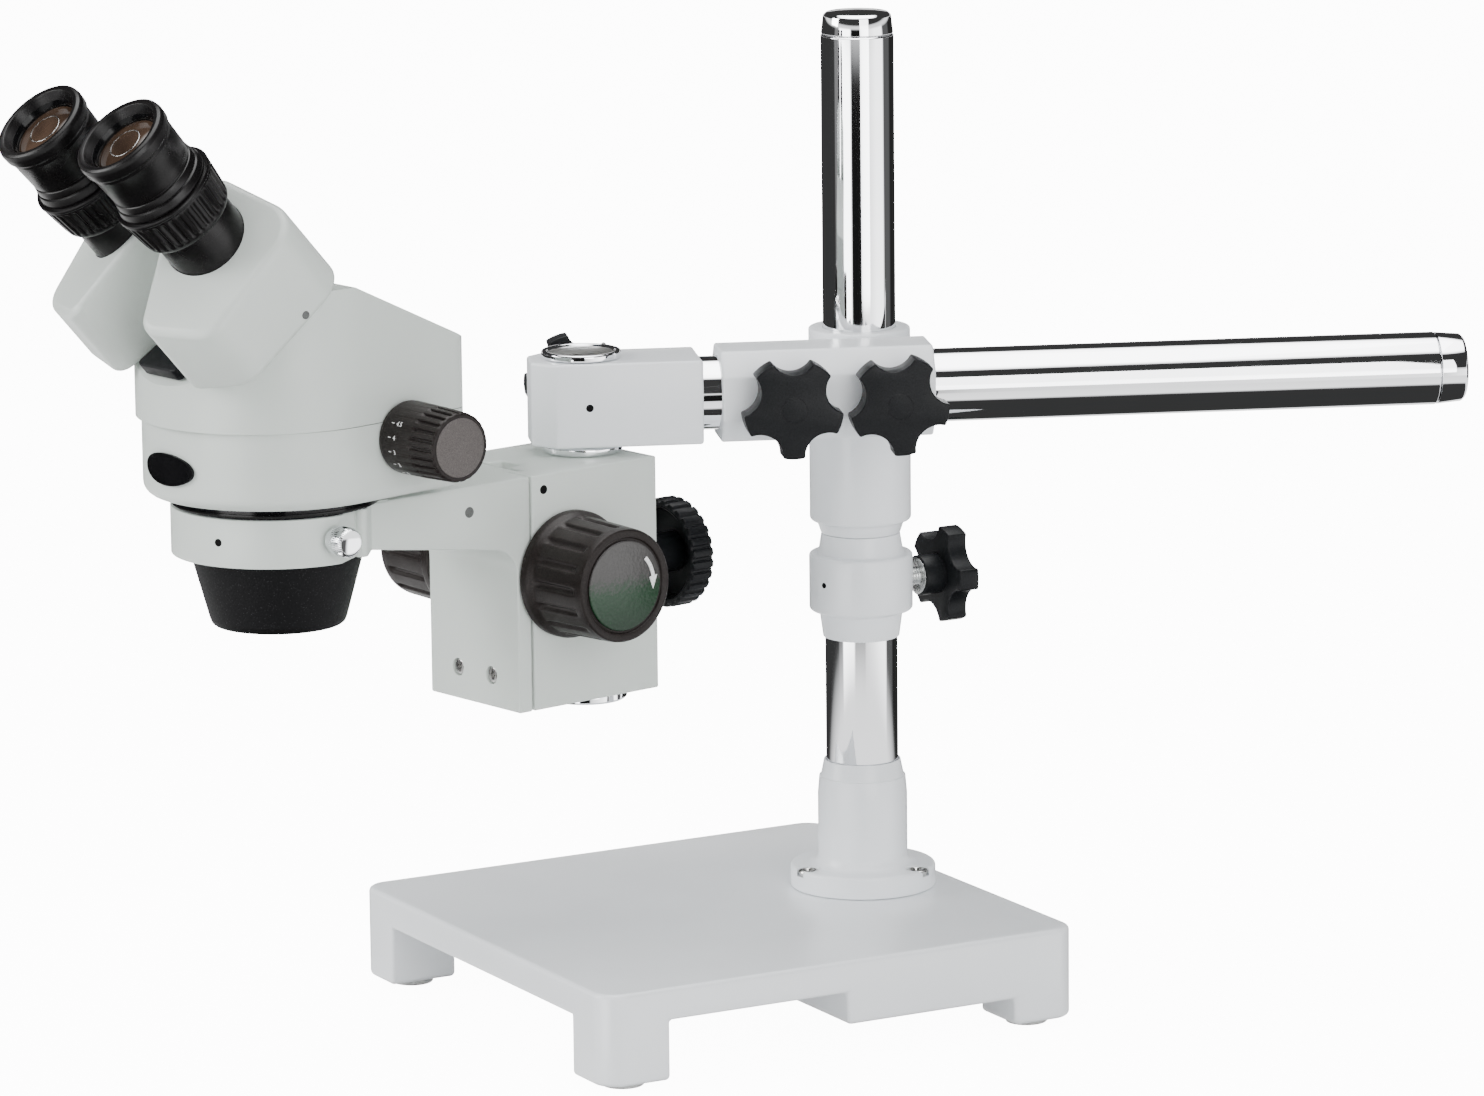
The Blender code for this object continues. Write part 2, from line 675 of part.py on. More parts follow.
def carriage():
    """Dovetail plate, forward arm and mounting ring: one casting."""
    top = RING_HIGH
    side_profile = [
        (PLATE_REAR, HOUSING_LOW, 1.0),
        (PLATE_REAR, top - STEP_DOWN, 1.0),
        (16.0, top - STEP_DOWN, 0.0),
        (16.0, 188.5, 0.0),
        (28.0, 187.3, 0.0),
        (PLATE_FRONT, 176.5, 13.0),
        (PLATE_FRONT, HOUSING_LOW, 1.0),
    ]
    body = extruded("focus_carriage", filleted(side_profile, 15), -HOUSING_HALF, HOUSING_HALF)
    place(body, ring, rotation=SIDE_VIEW, material=alloy)
    flat = [
        (RING_RADIUS, 13.0, 3.0),
        (HOUSING_HALF - 0.6, 27.0, 3.0),
        (HOUSING_HALF - 0.6, 36.0, 0.0),
        (-HOUSING_HALF + 0.6, 36.0, 0.0),
        (-HOUSING_HALF + 0.6, 27.0, 3.0),
        (-RING_RADIUS, 13.0, 3.0),
    ]
    arc = []
    for i in range(31):
        angle = math.pi + math.pi * i / 30
        arc.append((RING_RADIUS * math.cos(angle), RING_RADIUS * math.sin(angle)))
    shoulder = filleted(flat, 20) + arc
    collar = extruded("ring_body", shoulder, RING_LOW, top)
    join(body, place(collar, ring))
    front = PLATE_REAR
    rail = extruded(
        "dovetail_rail",
        [(-13.0, front - 1), (13.0, front - 1), (13.0, front + GAP), (18.0, front + 7.3), (-18.0, front + 7.3), (-13.0, front + GAP)],
        HOUSING_LOW + 1,
        top - 1,
    )
    join(body, place(rail, ring))
    hole(body, ring, RING_BORE, 170.0, 220.0, (0, 0, 0), segments=36)
    hole(body, ring, 2.8, 30.0, 60.0, (0, THUMB_Y, THUMB_Z), ALONG_X, 16)
    for x in CARRIAGE_SCREW_X:
        hole(body, ring, 3.9, -1.0, 8.0, (x, PLATE_FRONT, CARRIAGE_SCREW_Z), ALONG_Y, 16)
    rack()
    for i, x in enumerate(CARRIAGE_SCREW_X):
        screw_profile = [(0, 6.0), (3.6, 6.0), (3.6, 0.5), (1.6, 0.5), (1.6, 2.6), (0, 2.6)]
        screw = turned(f"carriage_screw_{i + 1}", [(r, -z) for r, z in reversed(screw_profile)], 16)
        place(screw, ring, (x, PLATE_FRONT, CARRIAGE_SCREW_Z), ALONG_MINUS_Y, steel)


def rack():
    """Rack on the back of the rail. Its teeth face the pinion behind it."""
    pitch_line = RING_FORWARD + PINION_Y - PITCH_RADIUS
    step = 2 * math.pi * PITCH_RADIUS / PINION_TEETH
    back = PLATE_REAR + 7.6
    root, tip = pitch_line - 1.2, pitch_line + 0.7
    low, high = PINION_Z - 38.0, PINION_Z + 38.0
    outline = [(back, low), (root, low)]
    count = int(36.0 / step)
    for i in range(-count, count + 1):
        z = PINION_Z + i * step
        outline += [(root, z - 0.85), (tip, z - 0.35), (tip, z + 0.35), (root, z + 0.85)]
    outline += [(root, high), (back, high)]
    bar = extruded("focus_rack", outline, -5.5, 5.5)
    place(bar, ring, rotation=SIDE_VIEW, material=steel)


def ring_thumb_screw():
    flat = RING_RADIUS + 0.6
    profile = [
        (0, flat + 11.6),
        (5.4, flat + 11.6),
        (6.3, flat + 10.8),
        (6.3, flat + 1.0),
        (5.5, flat),
        (2.5, flat),
        (2.5, RING_BORE + GAP),
        (0, RING_BORE + GAP),
    ]
    place(turned("ring_thumb_screw", profile, 28), ring, (0, THUMB_Y, THUMB_Z), ALONG_X, chrome)


# ---------------------------------------------------------------- the head


def head_outline(inset=0.0, brow=0.0, step=10.0):
    """Plan of the head, drawn in by inset: a round front with straight sides that taper to the rear."""
    radius, corner = HEAD_RADIUS - inset, REAR_CORNER - inset
    cx, cy = REAR_HALF - REAR_CORNER, REAR_Y - REAR_CORNER
    reach = math.hypot(cx, cy + brow)
    normal = math.atan2(cy + brow, cx) - math.acos((radius - corner) / reach)
    outline = []
    front_sweep = math.pi + 2 * normal
    steps = round(math.degrees(front_sweep) / step)
    for i in range(steps + 1):
        angle = math.pi - normal + front_sweep * i / steps
        outline.append((radius * math.cos(angle), radius * math.sin(angle) - brow))
    rear_sweep = math.pi / 2 - normal
    steps = max(2, round(math.degrees(rear_sweep) / 20))
    right = []
    for i in range(steps + 1):
        angle = normal + rear_sweep * i / steps
        right.append((cx + corner * math.cos(angle), cy + corner * math.sin(angle)))
    left = [(-x, y) for x, y in reversed(right)]
    return outline + right + left


def objective():
    cone_profile = [
        (36.6, 192.0),
        (36.6, 187.0),
        (29.0, 159.0),
        (28.2, 157.0),
        (27.2, 156.2),
        (25.6, 156.2),
        (25.6, 160.0),
        (33.0, 187.0),
        (33.0, 192.0),
    ]
    place(turned("objective_cone", cone_profile, 28, ring=True), ring, material=cone_black)
    lens_profile = [(0, 166.0), (24.6, 164.6), (24.6, 161.4), (12.5, 160.2), (0, 159.8)]
    place(turned("objective_lens", lens_profile, 24), ring, material=lens_glass)
    neck_profile = [
        (43.4, 212.9),
        (43.9, 212.4),
        (43.9, 208.8),
        (43.4, 208.3),
        (37.6, 208.3),
        (37.6, 192.3),
        (33.5, 192.3),
        (33.5, 212.9),
    ]
    place(turned("neck_ring", neck_profile, 28, ring=True), ring, material=black_gloss)


def lower_housing():
    low, high = 213.2, SEAM_Z
    shell = extruded("lower_housing", head_outline(), low, high + 8.0, 6.0, 2)
    place(shell, ring, material=alloy)
    trim = box("lower_trim", (-90, -90, high), (90, 120, high + 30))
    cut(shell, place(trim, ring))
    inner = head_outline(SHELL_WALL, step=15.0)
    cavity = extruded("lower_cavity", inner, low + SHELL_WALL + 1.0, high + 30.0)
    cut(shell, place(cavity, ring))
    hole(shell, ring, 33.5, 200.0, 225.0, (0, 0, 0), segments=16)
    hole(shell, ring, ZOOM_SHAFT_HOLE, -90.0, 90.0, (0, ZOOM_Y, ZOOM_Z), ALONG_X, 16)


def side_profile(inset, low, top):
    """Side view of the upper housing as (y, z), drawn in from the outer faces by inset."""
    slope = EYE_ELEVATION
    face_y = EYE_Y + PRISM_DEPTH * math.cos(slope) + (GAP + inset) * math.cos(slope)
    face_z = EYE_Z - PRISM_DEPTH * math.sin(slope) - (GAP + inset) * math.sin(slope)
    apex_z = top - inset
    apex_y = face_y + (apex_z - face_z) * math.tan(slope)
    front_y = -80.0
    front_z = face_z + (front_y - face_y) / math.tan(slope)
    return [
        (front_y, low),
        (front_y, front_z),
        (apex_y, apex_z),
        (2.0 - inset * 0.3, apex_z),
        (REAR_Y - 2.0 - inset, 277.0 - inset * 0.6),
        (REAR_Y + 20.0, 277.0 - inset * 0.6),
        (REAR_Y + 20.0, low),
    ]


def upper_housing():
    low, top = SEAM_Z + GAP, UPPER_TOP
    shell = extruded("upper_housing", head_outline(brow=BROW), low, top + 40.0)
    place(shell, ring, material=alloy)
    outside = extruded("upper_outside", side_profile(0.0, low - 20.0, top), -90.0, 90.0)
    place(outside, ring, rotation=SIDE_VIEW)
    combine(shell, outside, "INTERSECT")
    inner = head_outline(SHELL_WALL, BROW, 15.0)
    cavity = extruded("upper_cavity", inner, low - 30.0, top + 40.0)
    place(cavity, ring)
    inside = extruded("upper_inside", side_profile(SHELL_WALL, low - 40.0, top), -100.0, 100.0)
    place(inside, ring, rotation=SIDE_VIEW)
    combine(cavity, inside, "INTERSECT")
    cut(shell, cavity)


def recess_plate():
    """Black cover between the prism housings, lying on the sloping front face."""
    plate = extruded(
        "prism_cover_plate",
        filleted([(-14.5, -43.0, 3.0), (14.5, -43.0, 3.0), (4.0, -12.0, 2.0), (-4.0, -12.0, 2.0)], 30),
        -PRISM_DEPTH,
        -PRISM_DEPTH + 6.0,
        0.6,
        1,
    )
    place(plate, eye_middle, material=black_satin)


def badge():
    outline = []
    for i in range(36):
        angle = 2 * math.pi * i / 36
        outline.append((15.8 * math.cos(angle), 6.8 * math.sin(angle)))
    plate = extruded("front_badge", outline, -3.0, 6.0)
    place(plate, ring, (0.0, -HEAD_RADIUS, 228.8), ALONG_MINUS_Y, black_gloss)
    curve = disc("badge_curve", HEAD_RADIUS + 1.3, 215.0, 240.0, 96)
    combine(plate, place(curve, ring), "INTERSECT")
    back = disc("badge_back", HEAD_RADIUS + GAP, 210.0, 245.0, 96)
    cut(plate, place(back, ring))


def zoom_drive():
    axis = (0, ZOOM_Y, ZOOM_Z)
    shaft = disc("zoom_shaft", 3.0, -64.0, 64.0, 16)
    place(shaft, ring, axis, ALONG_X, steel)
    face, root = ZOOM_OUTER, ZOOM_INNER
    profile = [
        (0, face),
        (ZOOM_RADIUS - 1.2, face),
        (ZOOM_RADIUS, face - 1.0),
        (ZOOM_RADIUS + 0.8, root + 2.0),
        (ZOOM_RADIUS, root),
        (3.3, root),
        (3.3, 64.3),
        (0, 64.3),
    ]
    for side, rotation in (("right", ALONG_X), ("left", ALONG_MINUS_X)):
        knob = turned(f"zoom_knob_{side}", profile, 24)
        place(knob, ring, axis, rotation, knob_black)


# ---------------------------------------------------------------- prism housings and eyepieces


def slope_face(obj, sign, rise):
    """Tilts the front face, which starts level at height zero."""
    for vertex in obj.data.vertices:
        if vertex.co.z > -MM:
            vertex.co.z += rise * MM + FACE_OUTWARD * sign * vertex.co.x + FACE_UPWARD * vertex.co.y


def prism_side(side, sign, eye):
    """One prism housing with its eyepiece. The frame's +Z is the eyepiece axis and its +Y points up the slope."""
    corners = [(sign * x, y, r) for x, y, r in PRISM_OUTLINE]
    if sign < 0:
        corners.reverse()
    housing = extruded(
        f"prism_housing_{side}", filleted(corners, 18), -PRISM_DEPTH, 0.0, 4.0, 2
    )
    slope_face(housing, sign, FACE_RISE)
    place(housing, eye, material=alloy)
    centre_x = sum(x for x, _, _ in corners) / len(corners)
    centre_y = sum(y for _, y, _ in corners) / len(corners)
    inner = []
    for x, y, r in corners:
        away = Vector((x - centre_x, y - centre_y))
        pull = away.normalized() * 4.6
        inner.append((x - pull.x, y - pull.y, max(r - 3.0, 3.0)))
    cavity = extruded(f"prism_cavity_{side}", filleted(inner, 30), -PRISM_DEPTH - 5.0, 0.0)
    slope_face(cavity, sign, -PRISM_WALL)
    cut(housing, place(cavity, eye))
    hole(housing, eye, EYE_TUBE_RADIUS + GAP, -18.0, 12.0, (0, 0, 0), segments=24)

    tube_profile = [
        (EYE_TUBE_RADIUS - 0.4, 13.0),
        (EYE_TUBE_RADIUS, 12.4),
        (EYE_TUBE_RADIUS, -12.0),
        (11.0, -12.0),
        (11.0, 13.0),
    ]
    place(turned(f"eye_tube_{side}", tube_profile, 24, ring=True), eye, material=black_satin)
    ring_profile = [
        (21.9, 32.6),
        (22.4, 32.0),
        (22.2, 30.0),
        (20.4, 15.0),
        (19.4, 13.3),
        (12.0, 13.3),
        (12.0, 32.6),
    ]
    place(turned(f"diopter_ring_{side}", ring_profile, 24, ring=True), eye, material=black_satin)
    cup_profile = [
        (19.0, 64.0),
        (20.3, 63.2),
        (20.7, 61.0),
        (20.3, 57.6),
        (19.4, 55.0),
        (18.8, 41.0),
        (19.6, 39.6),
        (20.2, 33.0),
        (12.5, 32.9),
        (12.5, 50.0),
        (15.6, 54.0),
        (17.2, 64.0),
    ]
    place(turned(f"eyecup_{side}", cup_profile, 24, ring=True), eye, material=cup_black)
    lens_profile = [(0, 53.6), (8.0, 52.8), (12.2, 51.0), (12.2, 47.0), (0, 46.0)]
    place(turned(f"eye_lens_{side}", lens_profile, 20), eye, material=lens_glass)


# ---------------------------------------------------------------- build

clear_scene()
parts = collection(PARTS)
cutters = collection(CUTTERS)

enamel = paint("cool_white_enamel", (0.72, 0.74, 0.76), 0.42)
alloy = paint("grey_green_enamel", (0.62, 0.66, 0.65), 0.48)
chrome = paint("chrome_plate", (0.85, 0.86, 0.88), 0.06, 1.0)
zinc = paint("zinc_plate", (0.62, 0.62, 0.60), 0.32, 1.0)
steel = paint("bright_steel", (0.60, 0.60, 0.60), 0.28, 1.0)
rubber = paint("foot_rubber", (0.55, 0.56, 0.56), 0.75)
black_satin = paint("black_satin_plastic", (0.02, 0.021, 0.022), 0.45)
knob_black = paint("brown_black_plastic", (0.026, 0.022, 0.021), 0.5)
disc_gloss = paint("disc_gloss", (0.05, 0.08, 0.06), 0.15)
black_gloss = paint("black_gloss_plastic", (0.012, 0.012, 0.013), 0.12)
cone_black = paint("matt_black_paint", (0.012, 0.012, 0.012), 0.6)
cup_black = paint("eyepiece_black", (0.014, 0.014, 0.015), 0.38)
lens_glass = paint("coated_glass", (0.22, 0.16, 0.12), 0.03)

stand = frame("stand_axis", (POLE_X, POLE_Y, BASE_HEIGHT))
arm = frame("arm_axis", (0, 0, 0), (0, 0, ARM_YAW), stand)
pin = frame("pin_axis", (ARM_X, PIN_Y, 0), (0, 0, HEAD_YAW - ARM_YAW), arm)
ring = frame("ring_axis", (0, -RING_FORWARD, 0), parent=pin)
eye_tilt = (math.pi / 2 - EYE_ELEVATION, 0.0, 0.0)
eye_middle = frame("eye_middle", (0, EYE_Y, EYE_Z), eye_tilt, ring)
eye_right = frame("eye_axis_right", (EYE_HALF_DISTANCE, 0, 0), parent=eye_middle)
eye_left = frame("eye_axis_left", (-EYE_HALF_DISTANCE, 0, 0), parent=eye_middle)

base_plate()
rubber_feet()
pole_socket()
pole()
safety_collar()
cross_clamp()
arm_tube()
swivel_block()
swivel_pin()
focus_housing()
lock_wheel()
focus_drive()
carriage()
ring_thumb_screw()
objective()
lower_housing()
upper_housing()
recess_plate()
badge()
zoom_drive()
prism_side("right", 1.0, eye_right)
prism_side("left", -1.0, eye_left)

for obj in parts.objects:
    if obj.type == "MESH":
        obj.data.shade_smooth()
        obj.data.set_sharp_from_angle(angle=math.radians(35.0))
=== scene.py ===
"""Looks of the stereo microscope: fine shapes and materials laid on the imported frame.

Shapes are modelled in millimetres, each in the frame of the group that it belongs to, and piece() turns
them into metres in the frame's own place.
"""

import json
import math

import bmesh
import bpy
from mathutils import Matrix, Vector


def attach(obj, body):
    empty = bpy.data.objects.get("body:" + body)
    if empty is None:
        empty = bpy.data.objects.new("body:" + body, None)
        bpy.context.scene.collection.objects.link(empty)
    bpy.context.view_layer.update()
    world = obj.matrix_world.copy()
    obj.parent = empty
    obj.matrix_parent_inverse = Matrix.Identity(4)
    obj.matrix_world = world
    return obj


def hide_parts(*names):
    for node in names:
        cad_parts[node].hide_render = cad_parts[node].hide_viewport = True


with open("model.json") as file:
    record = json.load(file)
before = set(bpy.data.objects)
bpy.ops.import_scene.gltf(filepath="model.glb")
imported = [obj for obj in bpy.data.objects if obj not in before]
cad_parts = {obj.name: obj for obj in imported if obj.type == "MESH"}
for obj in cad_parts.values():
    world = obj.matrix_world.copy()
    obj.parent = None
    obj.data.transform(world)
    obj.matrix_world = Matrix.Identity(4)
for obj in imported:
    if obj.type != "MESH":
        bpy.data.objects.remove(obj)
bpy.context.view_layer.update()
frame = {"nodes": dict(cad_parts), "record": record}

MM = 0.001
GAP = 0.3

# ---------------------------------------------------------------- where each group of pieces sits (mm)


def spot(x, y, z):
    return Matrix.Translation((x, y, z))


def turn(angle, axis):
    return Matrix.Rotation(math.radians(angle), 4, axis)


ARM_X, ARM_Z, PIN_Y = 36.0, 231.2, -127.1
STAND = spot(-13.0, 86.4, 44.0)
ARM = STAND @ turn(-21.3, "Z")
PIN = ARM @ spot(ARM_X, PIN_Y, 0) @ turn(32.8, "Z")
RING = PIN @ spot(0, -166.0, 0)
EYE_Y, EYE_Z, EYE_TILT = -53.5, 328.2, 42.0
EYES = RING @ spot(0, EYE_Y, EYE_Z) @ turn(EYE_TILT, "X")
EYE = {"right": EYES @ spot(28, 0, 0), "left": EYES @ spot(-28, 0, 0)}

TO_X = turn(90, "Y")  # turns a shape's +Z to the group's +X
TO_MINUS_X = turn(-90, "Y")
TO_Y = turn(-90, "X")
TO_MINUS_Y = turn(90, "X")
SIDE_VIEW = turn(90, "Z") @ turn(90, "X")  # stands a profile (y, z) up and extrudes it along X

PINION_AXIS = spot(0, -34.0, 163.0)
LOCK_AXIS = spot(0, 0, 156.2) @ TO_Y
ZOOM_AXIS = spot(0, 28.0, 239.2)
RING_SCREW_AXIS = spot(0, -4.0, 198.5) @ TO_X
COLLAR_SCREW_AXIS = spot(0, 0, 137) @ TO_Y
BOOM_AXIS = spot(ARM_X, 0, ARM_Z) @ TO_Y
TUBE_RADIUS, BORE_RADIUS = 16.0, 16.3
HAND_KNOB_RADIUS, ROD_RADIUS, ROD_HOLE = 21.7, 4.0, 4.3
BLOCK_HALF = 30.8  # half the width of the focus housing and of the carriage
RING_OUTER = 44.5

# ---------------------------------------------------------------- materials


def material(name, colour, roughness, metallic=0.0, **settings):
    """A Principled material with its fixed values set on the shader's own sockets."""
    made = bpy.data.materials.new(name)
    made.use_nodes = True
    shader = made.node_tree.nodes["Principled BSDF"]
    shader.inputs["Base Color"].default_value = (*colour, 1.0)
    shader.inputs["Roughness"].default_value = roughness
    shader.inputs["Metallic"].default_value = metallic
    for socket, value in settings.items():
        shader.inputs[socket.replace("_", " ")].default_value = value
    return made


def coordinates(made, scale=(1.0, 1.0, 1.0)):
    nodes, links = made.node_tree.nodes, made.node_tree.links
    place = nodes.new("ShaderNodeTexCoord")
    mapping = nodes.new("ShaderNodeMapping")
    mapping.inputs["Scale"].default_value = scale
    links.new(place.outputs["Object"], mapping.inputs["Vector"])
    return mapping.outputs["Vector"]


def noise(made, scale, detail=3.0, stretch=(1.0, 1.0, 1.0)):
    nodes, links = made.node_tree.nodes, made.node_tree.links
    texture = nodes.new("ShaderNodeTexNoise")
    texture.inputs["Scale"].default_value = scale
    texture.inputs["Detail"].default_value = detail
    links.new(coordinates(made, stretch), texture.inputs["Vector"])
    return texture.outputs["Fac"]


def graded(node, stops):
    """Fills a colour ramp with (position, colour) stops, given from low to high."""
    elements = node.color_ramp.elements
    elements[0].position = stops[0][0]
    elements[1].position = stops[-1][0]
    elements[0].color = (*stops[0][1], 1.0)
    elements[1].color = (*stops[-1][1], 1.0)
    for position, colour in stops[1:-1]:
        elements.new(position).color = (*colour, 1.0)


def ramp(made, source, stops):
    nodes, links = made.node_tree.nodes, made.node_tree.links
    node = nodes.new("ShaderNodeValToRGB")
    graded(node, stops)
    links.new(source, node.inputs["Fac"])
    return node.outputs["Color"]


def shade(made, socket, source):
    links = made.node_tree.links
    links.new(source, made.node_tree.nodes["Principled BSDF"].inputs[socket])


def bump(made, source, strength, distance):
    nodes, links = made.node_tree.nodes, made.node_tree.links
    node = nodes.new("ShaderNodeBump")
    node.inputs["Strength"].default_value = strength
    node.inputs["Distance"].default_value = distance
    links.new(source, node.inputs["Height"])
    links.new(node.outputs["Normal"], nodes["Principled BSDF"].inputs["Normal"])


def grey(value):
    return (value, value, value)


def scaled(colour, factor):
    return tuple(channel * factor for channel in colour)


def paint(name, colour, roughness, grain, variation=0.03, **settings):
    """Sprayed enamel: faint cloudiness, a fine orange-peel surface and uneven gloss."""
    made = material(name, colour, roughness, **settings)
    cloud = noise(made, 14.0, 4.0)
    stops = [(0.3, scaled(colour, 1 - variation)), (0.7, scaled(colour, 1 + variation))]
    shade(made, "Base Color", ramp(made, cloud, stops))
    peel = noise(made, grain, 2.0)
    shade(made, "Roughness", ramp(made, peel, [(0.3, grey(roughness - 0.05)), (0.7, grey(roughness + 0.07))]))
    bump(made, peel, 0.12, 0.0003)
    return made


def moulded(name, colour, roughness, grain, depth, **settings):
    """Moulded plastic or coated metal with a fine spark-eroded grain and slightly polished high spots."""
    made = material(name, colour, roughness, **settings)
    fine = noise(made, grain, 5.0)
    stops = [(0.35, scaled(colour, 0.75)), (0.65, scaled(colour, 1.35))]
    shade(made, "Base Color", ramp(made, fine, stops))
    worn = noise(made, 60.0, 3.0)
    shade(made, "Roughness", ramp(made, worn, [(0.3, grey(roughness - 0.07)), (0.7, grey(roughness + 0.08))]))
    bump(made, fine, depth, 0.0002)
    return made


def plated(name, colour, roughness, brushing, stretch):
    """Plated or machined metal with faint tool marks."""
    made = material(name, colour, roughness, 1.0)
    marks = noise(made, brushing, 3.0, stretch)
    shade(made, "Roughness", ramp(made, marks, [(0.35, grey(roughness * 0.6)), (0.7, grey(roughness * 1.6))]))
    haze = noise(made, 30.0, 2.0)
    shade(made, "Base Color", ramp(made, haze, [(0.3, scaled(colour, 0.96)), (0.7, colour)]))
    bump(made, marks, 0.03, 0.0001)
    return made


def speckled(name, colour, fleck):
    """Matt black paint with fine light flecks."""
    made = material(name, colour, 0.55, Specular_IOR_Level=0.12)
    nodes, links = made.node_tree.nodes, made.node_tree.links
    cells = nodes.new("ShaderNodeTexVoronoi")
    cells.inputs["Scale"].default_value = 900.0
    links.new(coordinates(made), cells.inputs["Vector"])
    shade(made, "Base Color", ramp(made, cells.outputs["Distance"], [(0.06, fleck), (0.22, colour)]))
    bump(made, cells.outputs["Distance"], 0.25, 0.0002)
    return made


def foil_painted_reflection(name):
    """Glossy dark green label disc with a pebbled surface and a painted reflection: grey at the top, fading
    to dark green.
    """
    made = material(name, (0.06, 0.09, 0.07), 0.22, Specular_IOR_Level=0.25)
    nodes, links = made.node_tree.nodes, made.node_tree.links
    split = nodes.new("ShaderNodeSeparateXYZ")
    links.new(nodes.new("ShaderNodeTexCoord").outputs["Object"], split.inputs["Vector"])
    pebbles = noise(made, 700.0, 2.0)
    sway = nodes.new("ShaderNodeMath")
    sway.operation = "MULTIPLY_ADD"
    sway.inputs[1].default_value = 0.012
    links.new(pebbles, sway.inputs[0])
    links.new(split.outputs["Z"], sway.inputs[2])
    # Painted reflection: the colour follows the disc's height, grey above and dark green below.
    level = nodes.new("ShaderNodeMapRange")
    level.inputs["From Min"].default_value = DISC_Z - 0.014
    level.inputs["From Max"].default_value = DISC_Z + 0.026
    links.new(sway.outputs[0], level.inputs["Value"])
    green, dark_green, reflected_grey = (0.009, 0.036, 0.015), (0.006, 0.022, 0.010), (0.052, 0.050, 0.049)
    stops = [(0.0, dark_green), (0.42, green), (0.60, reflected_grey), (1.0, scaled(reflected_grey, 1.3))]
    shade(made, "Base Color", ramp(made, level.outputs["Result"], stops))
    bump(made, pebbles, 0.35, 0.0004)
    return made


def lens_coating(name):
    """Coated eyepiece glass over a dark barrel: warm brown in the light, nearly black in the shade."""
    made = material(name, (0.05, 0.03, 0.02), 0.03, IOR=1.6)
    tint = noise(made, 45.0, 2.0)
    stops = [(0.3, (0.02, 0.012, 0.008)), (0.6, (0.075, 0.046, 0.031))]
    shade(made, "Base Color", ramp(made, tint, stops))
    return made


DISC_Z = 0.207
MATERIALS = {
    "cool_white_enamel": paint("cool_white_enamel", (0.88, 0.905, 0.93), 0.34, 900.0, Coat_Weight=0.15),
    "grey_green_enamel": paint("grey_green_enamel", (0.60, 0.645, 0.61), 0.42, 1100.0, Coat_Weight=0.1),
    "chrome_plate": plated("chrome_plate", (0.86, 0.87, 0.89), 0.045, 60.0, (1.0, 1.0, 0.05)),
    "zinc_plate": plated("zinc_plate", (0.70, 0.71, 0.70), 0.26, 900.0, (1.0, 1.0, 1.0)),
    "bright_steel": plated("bright_steel", (0.62, 0.62, 0.61), 0.24, 700.0, (1.0, 1.0, 0.2)),
    "foot_rubber": moulded("foot_rubber", (0.55, 0.56, 0.55), 0.7, 1500.0, 0.2),
    "black_satin_plastic": moulded(
        "black_satin_plastic", (0.006, 0.0066, 0.0075), 0.42, 1600.0, 0.2, Specular_IOR_Level=0.13
    ),
    "brown_black_plastic": moulded(
        "brown_black_plastic", (0.012, 0.0092, 0.0085), 0.40, 1500.0, 0.25, Specular_IOR_Level=0.16
    ),
    "disc_gloss": foil_painted_reflection("disc_gloss"),
    "black_gloss_plastic": moulded(
        "black_gloss_plastic", (0.004, 0.004, 0.0045), 0.14, 900.0, 0.03, Specular_IOR_Level=0.15
    ),
    "matt_black_paint": speckled("matt_black_paint", (0.0035, 0.0035, 0.004), (0.035, 0.035, 0.038)),
    "eyepiece_black": moulded(
        "eyepiece_black", (0.0045, 0.004, 0.0042), 0.30, 2200.0, 0.15, Specular_IOR_Level=0.2
    ),
    "coated_glass": lens_coating("coated_glass"),
}
WHITE_MARK = moulded("white_marking", (0.80, 0.80, 0.80), 0.5, 2000.0, 0.05)
DARK_HOLE = moulded("blackened_screw", (0.004, 0.004, 0.004), 0.5, 1800.0, 0.2, Specular_IOR_Level=0.05)
GREY_SCREW = moulded("grey_screw", (0.07, 0.075, 0.072), 0.4, 1800.0, 0.2)
GREY_STRIP = plated("anodised_strip", (0.16, 0.16, 0.155), 0.5, 500.0, (1.0, 0.05, 1.0))
KNOB_FACE = moulded("worn_knob_face", (0.085, 0.076, 0.073), 0.36, 2600.0, 0.35, Specular_IOR_Level=0.2)

NODE_SLOT = {entry["node"]: entry["material_slot"] for entry in frame["record"]["subparts"]}
NODE_BODY = {node: body for body, nodes in frame["record"]["behaviour"]["bodies"].items() for node in nodes}
for node_name, node_object in frame["nodes"].items():
    for holder in node_object.material_slots:
        holder.material = MATERIALS[NODE_SLOT[node_name]]

# ---------------------------------------------------------------- shapes


def new_object(name, bm):
    mesh = bpy.data.meshes.new(name)
    bmesh.ops.recalc_face_normals(bm, faces=bm.faces)
    bm.to_mesh(mesh)
    bm.free()
    obj = bpy.data.objects.new(name, mesh)
    bpy.context.scene.collection.objects.link(obj)
    return obj


def applied(obj):
    """The same object with its modifiers made real."""
    graph = bpy.context.evaluated_depsgraph_get()
    obj.data = bpy.data.meshes.new_from_object(obj.evaluated_get(graph))
    obj.modifiers.clear()
    return obj


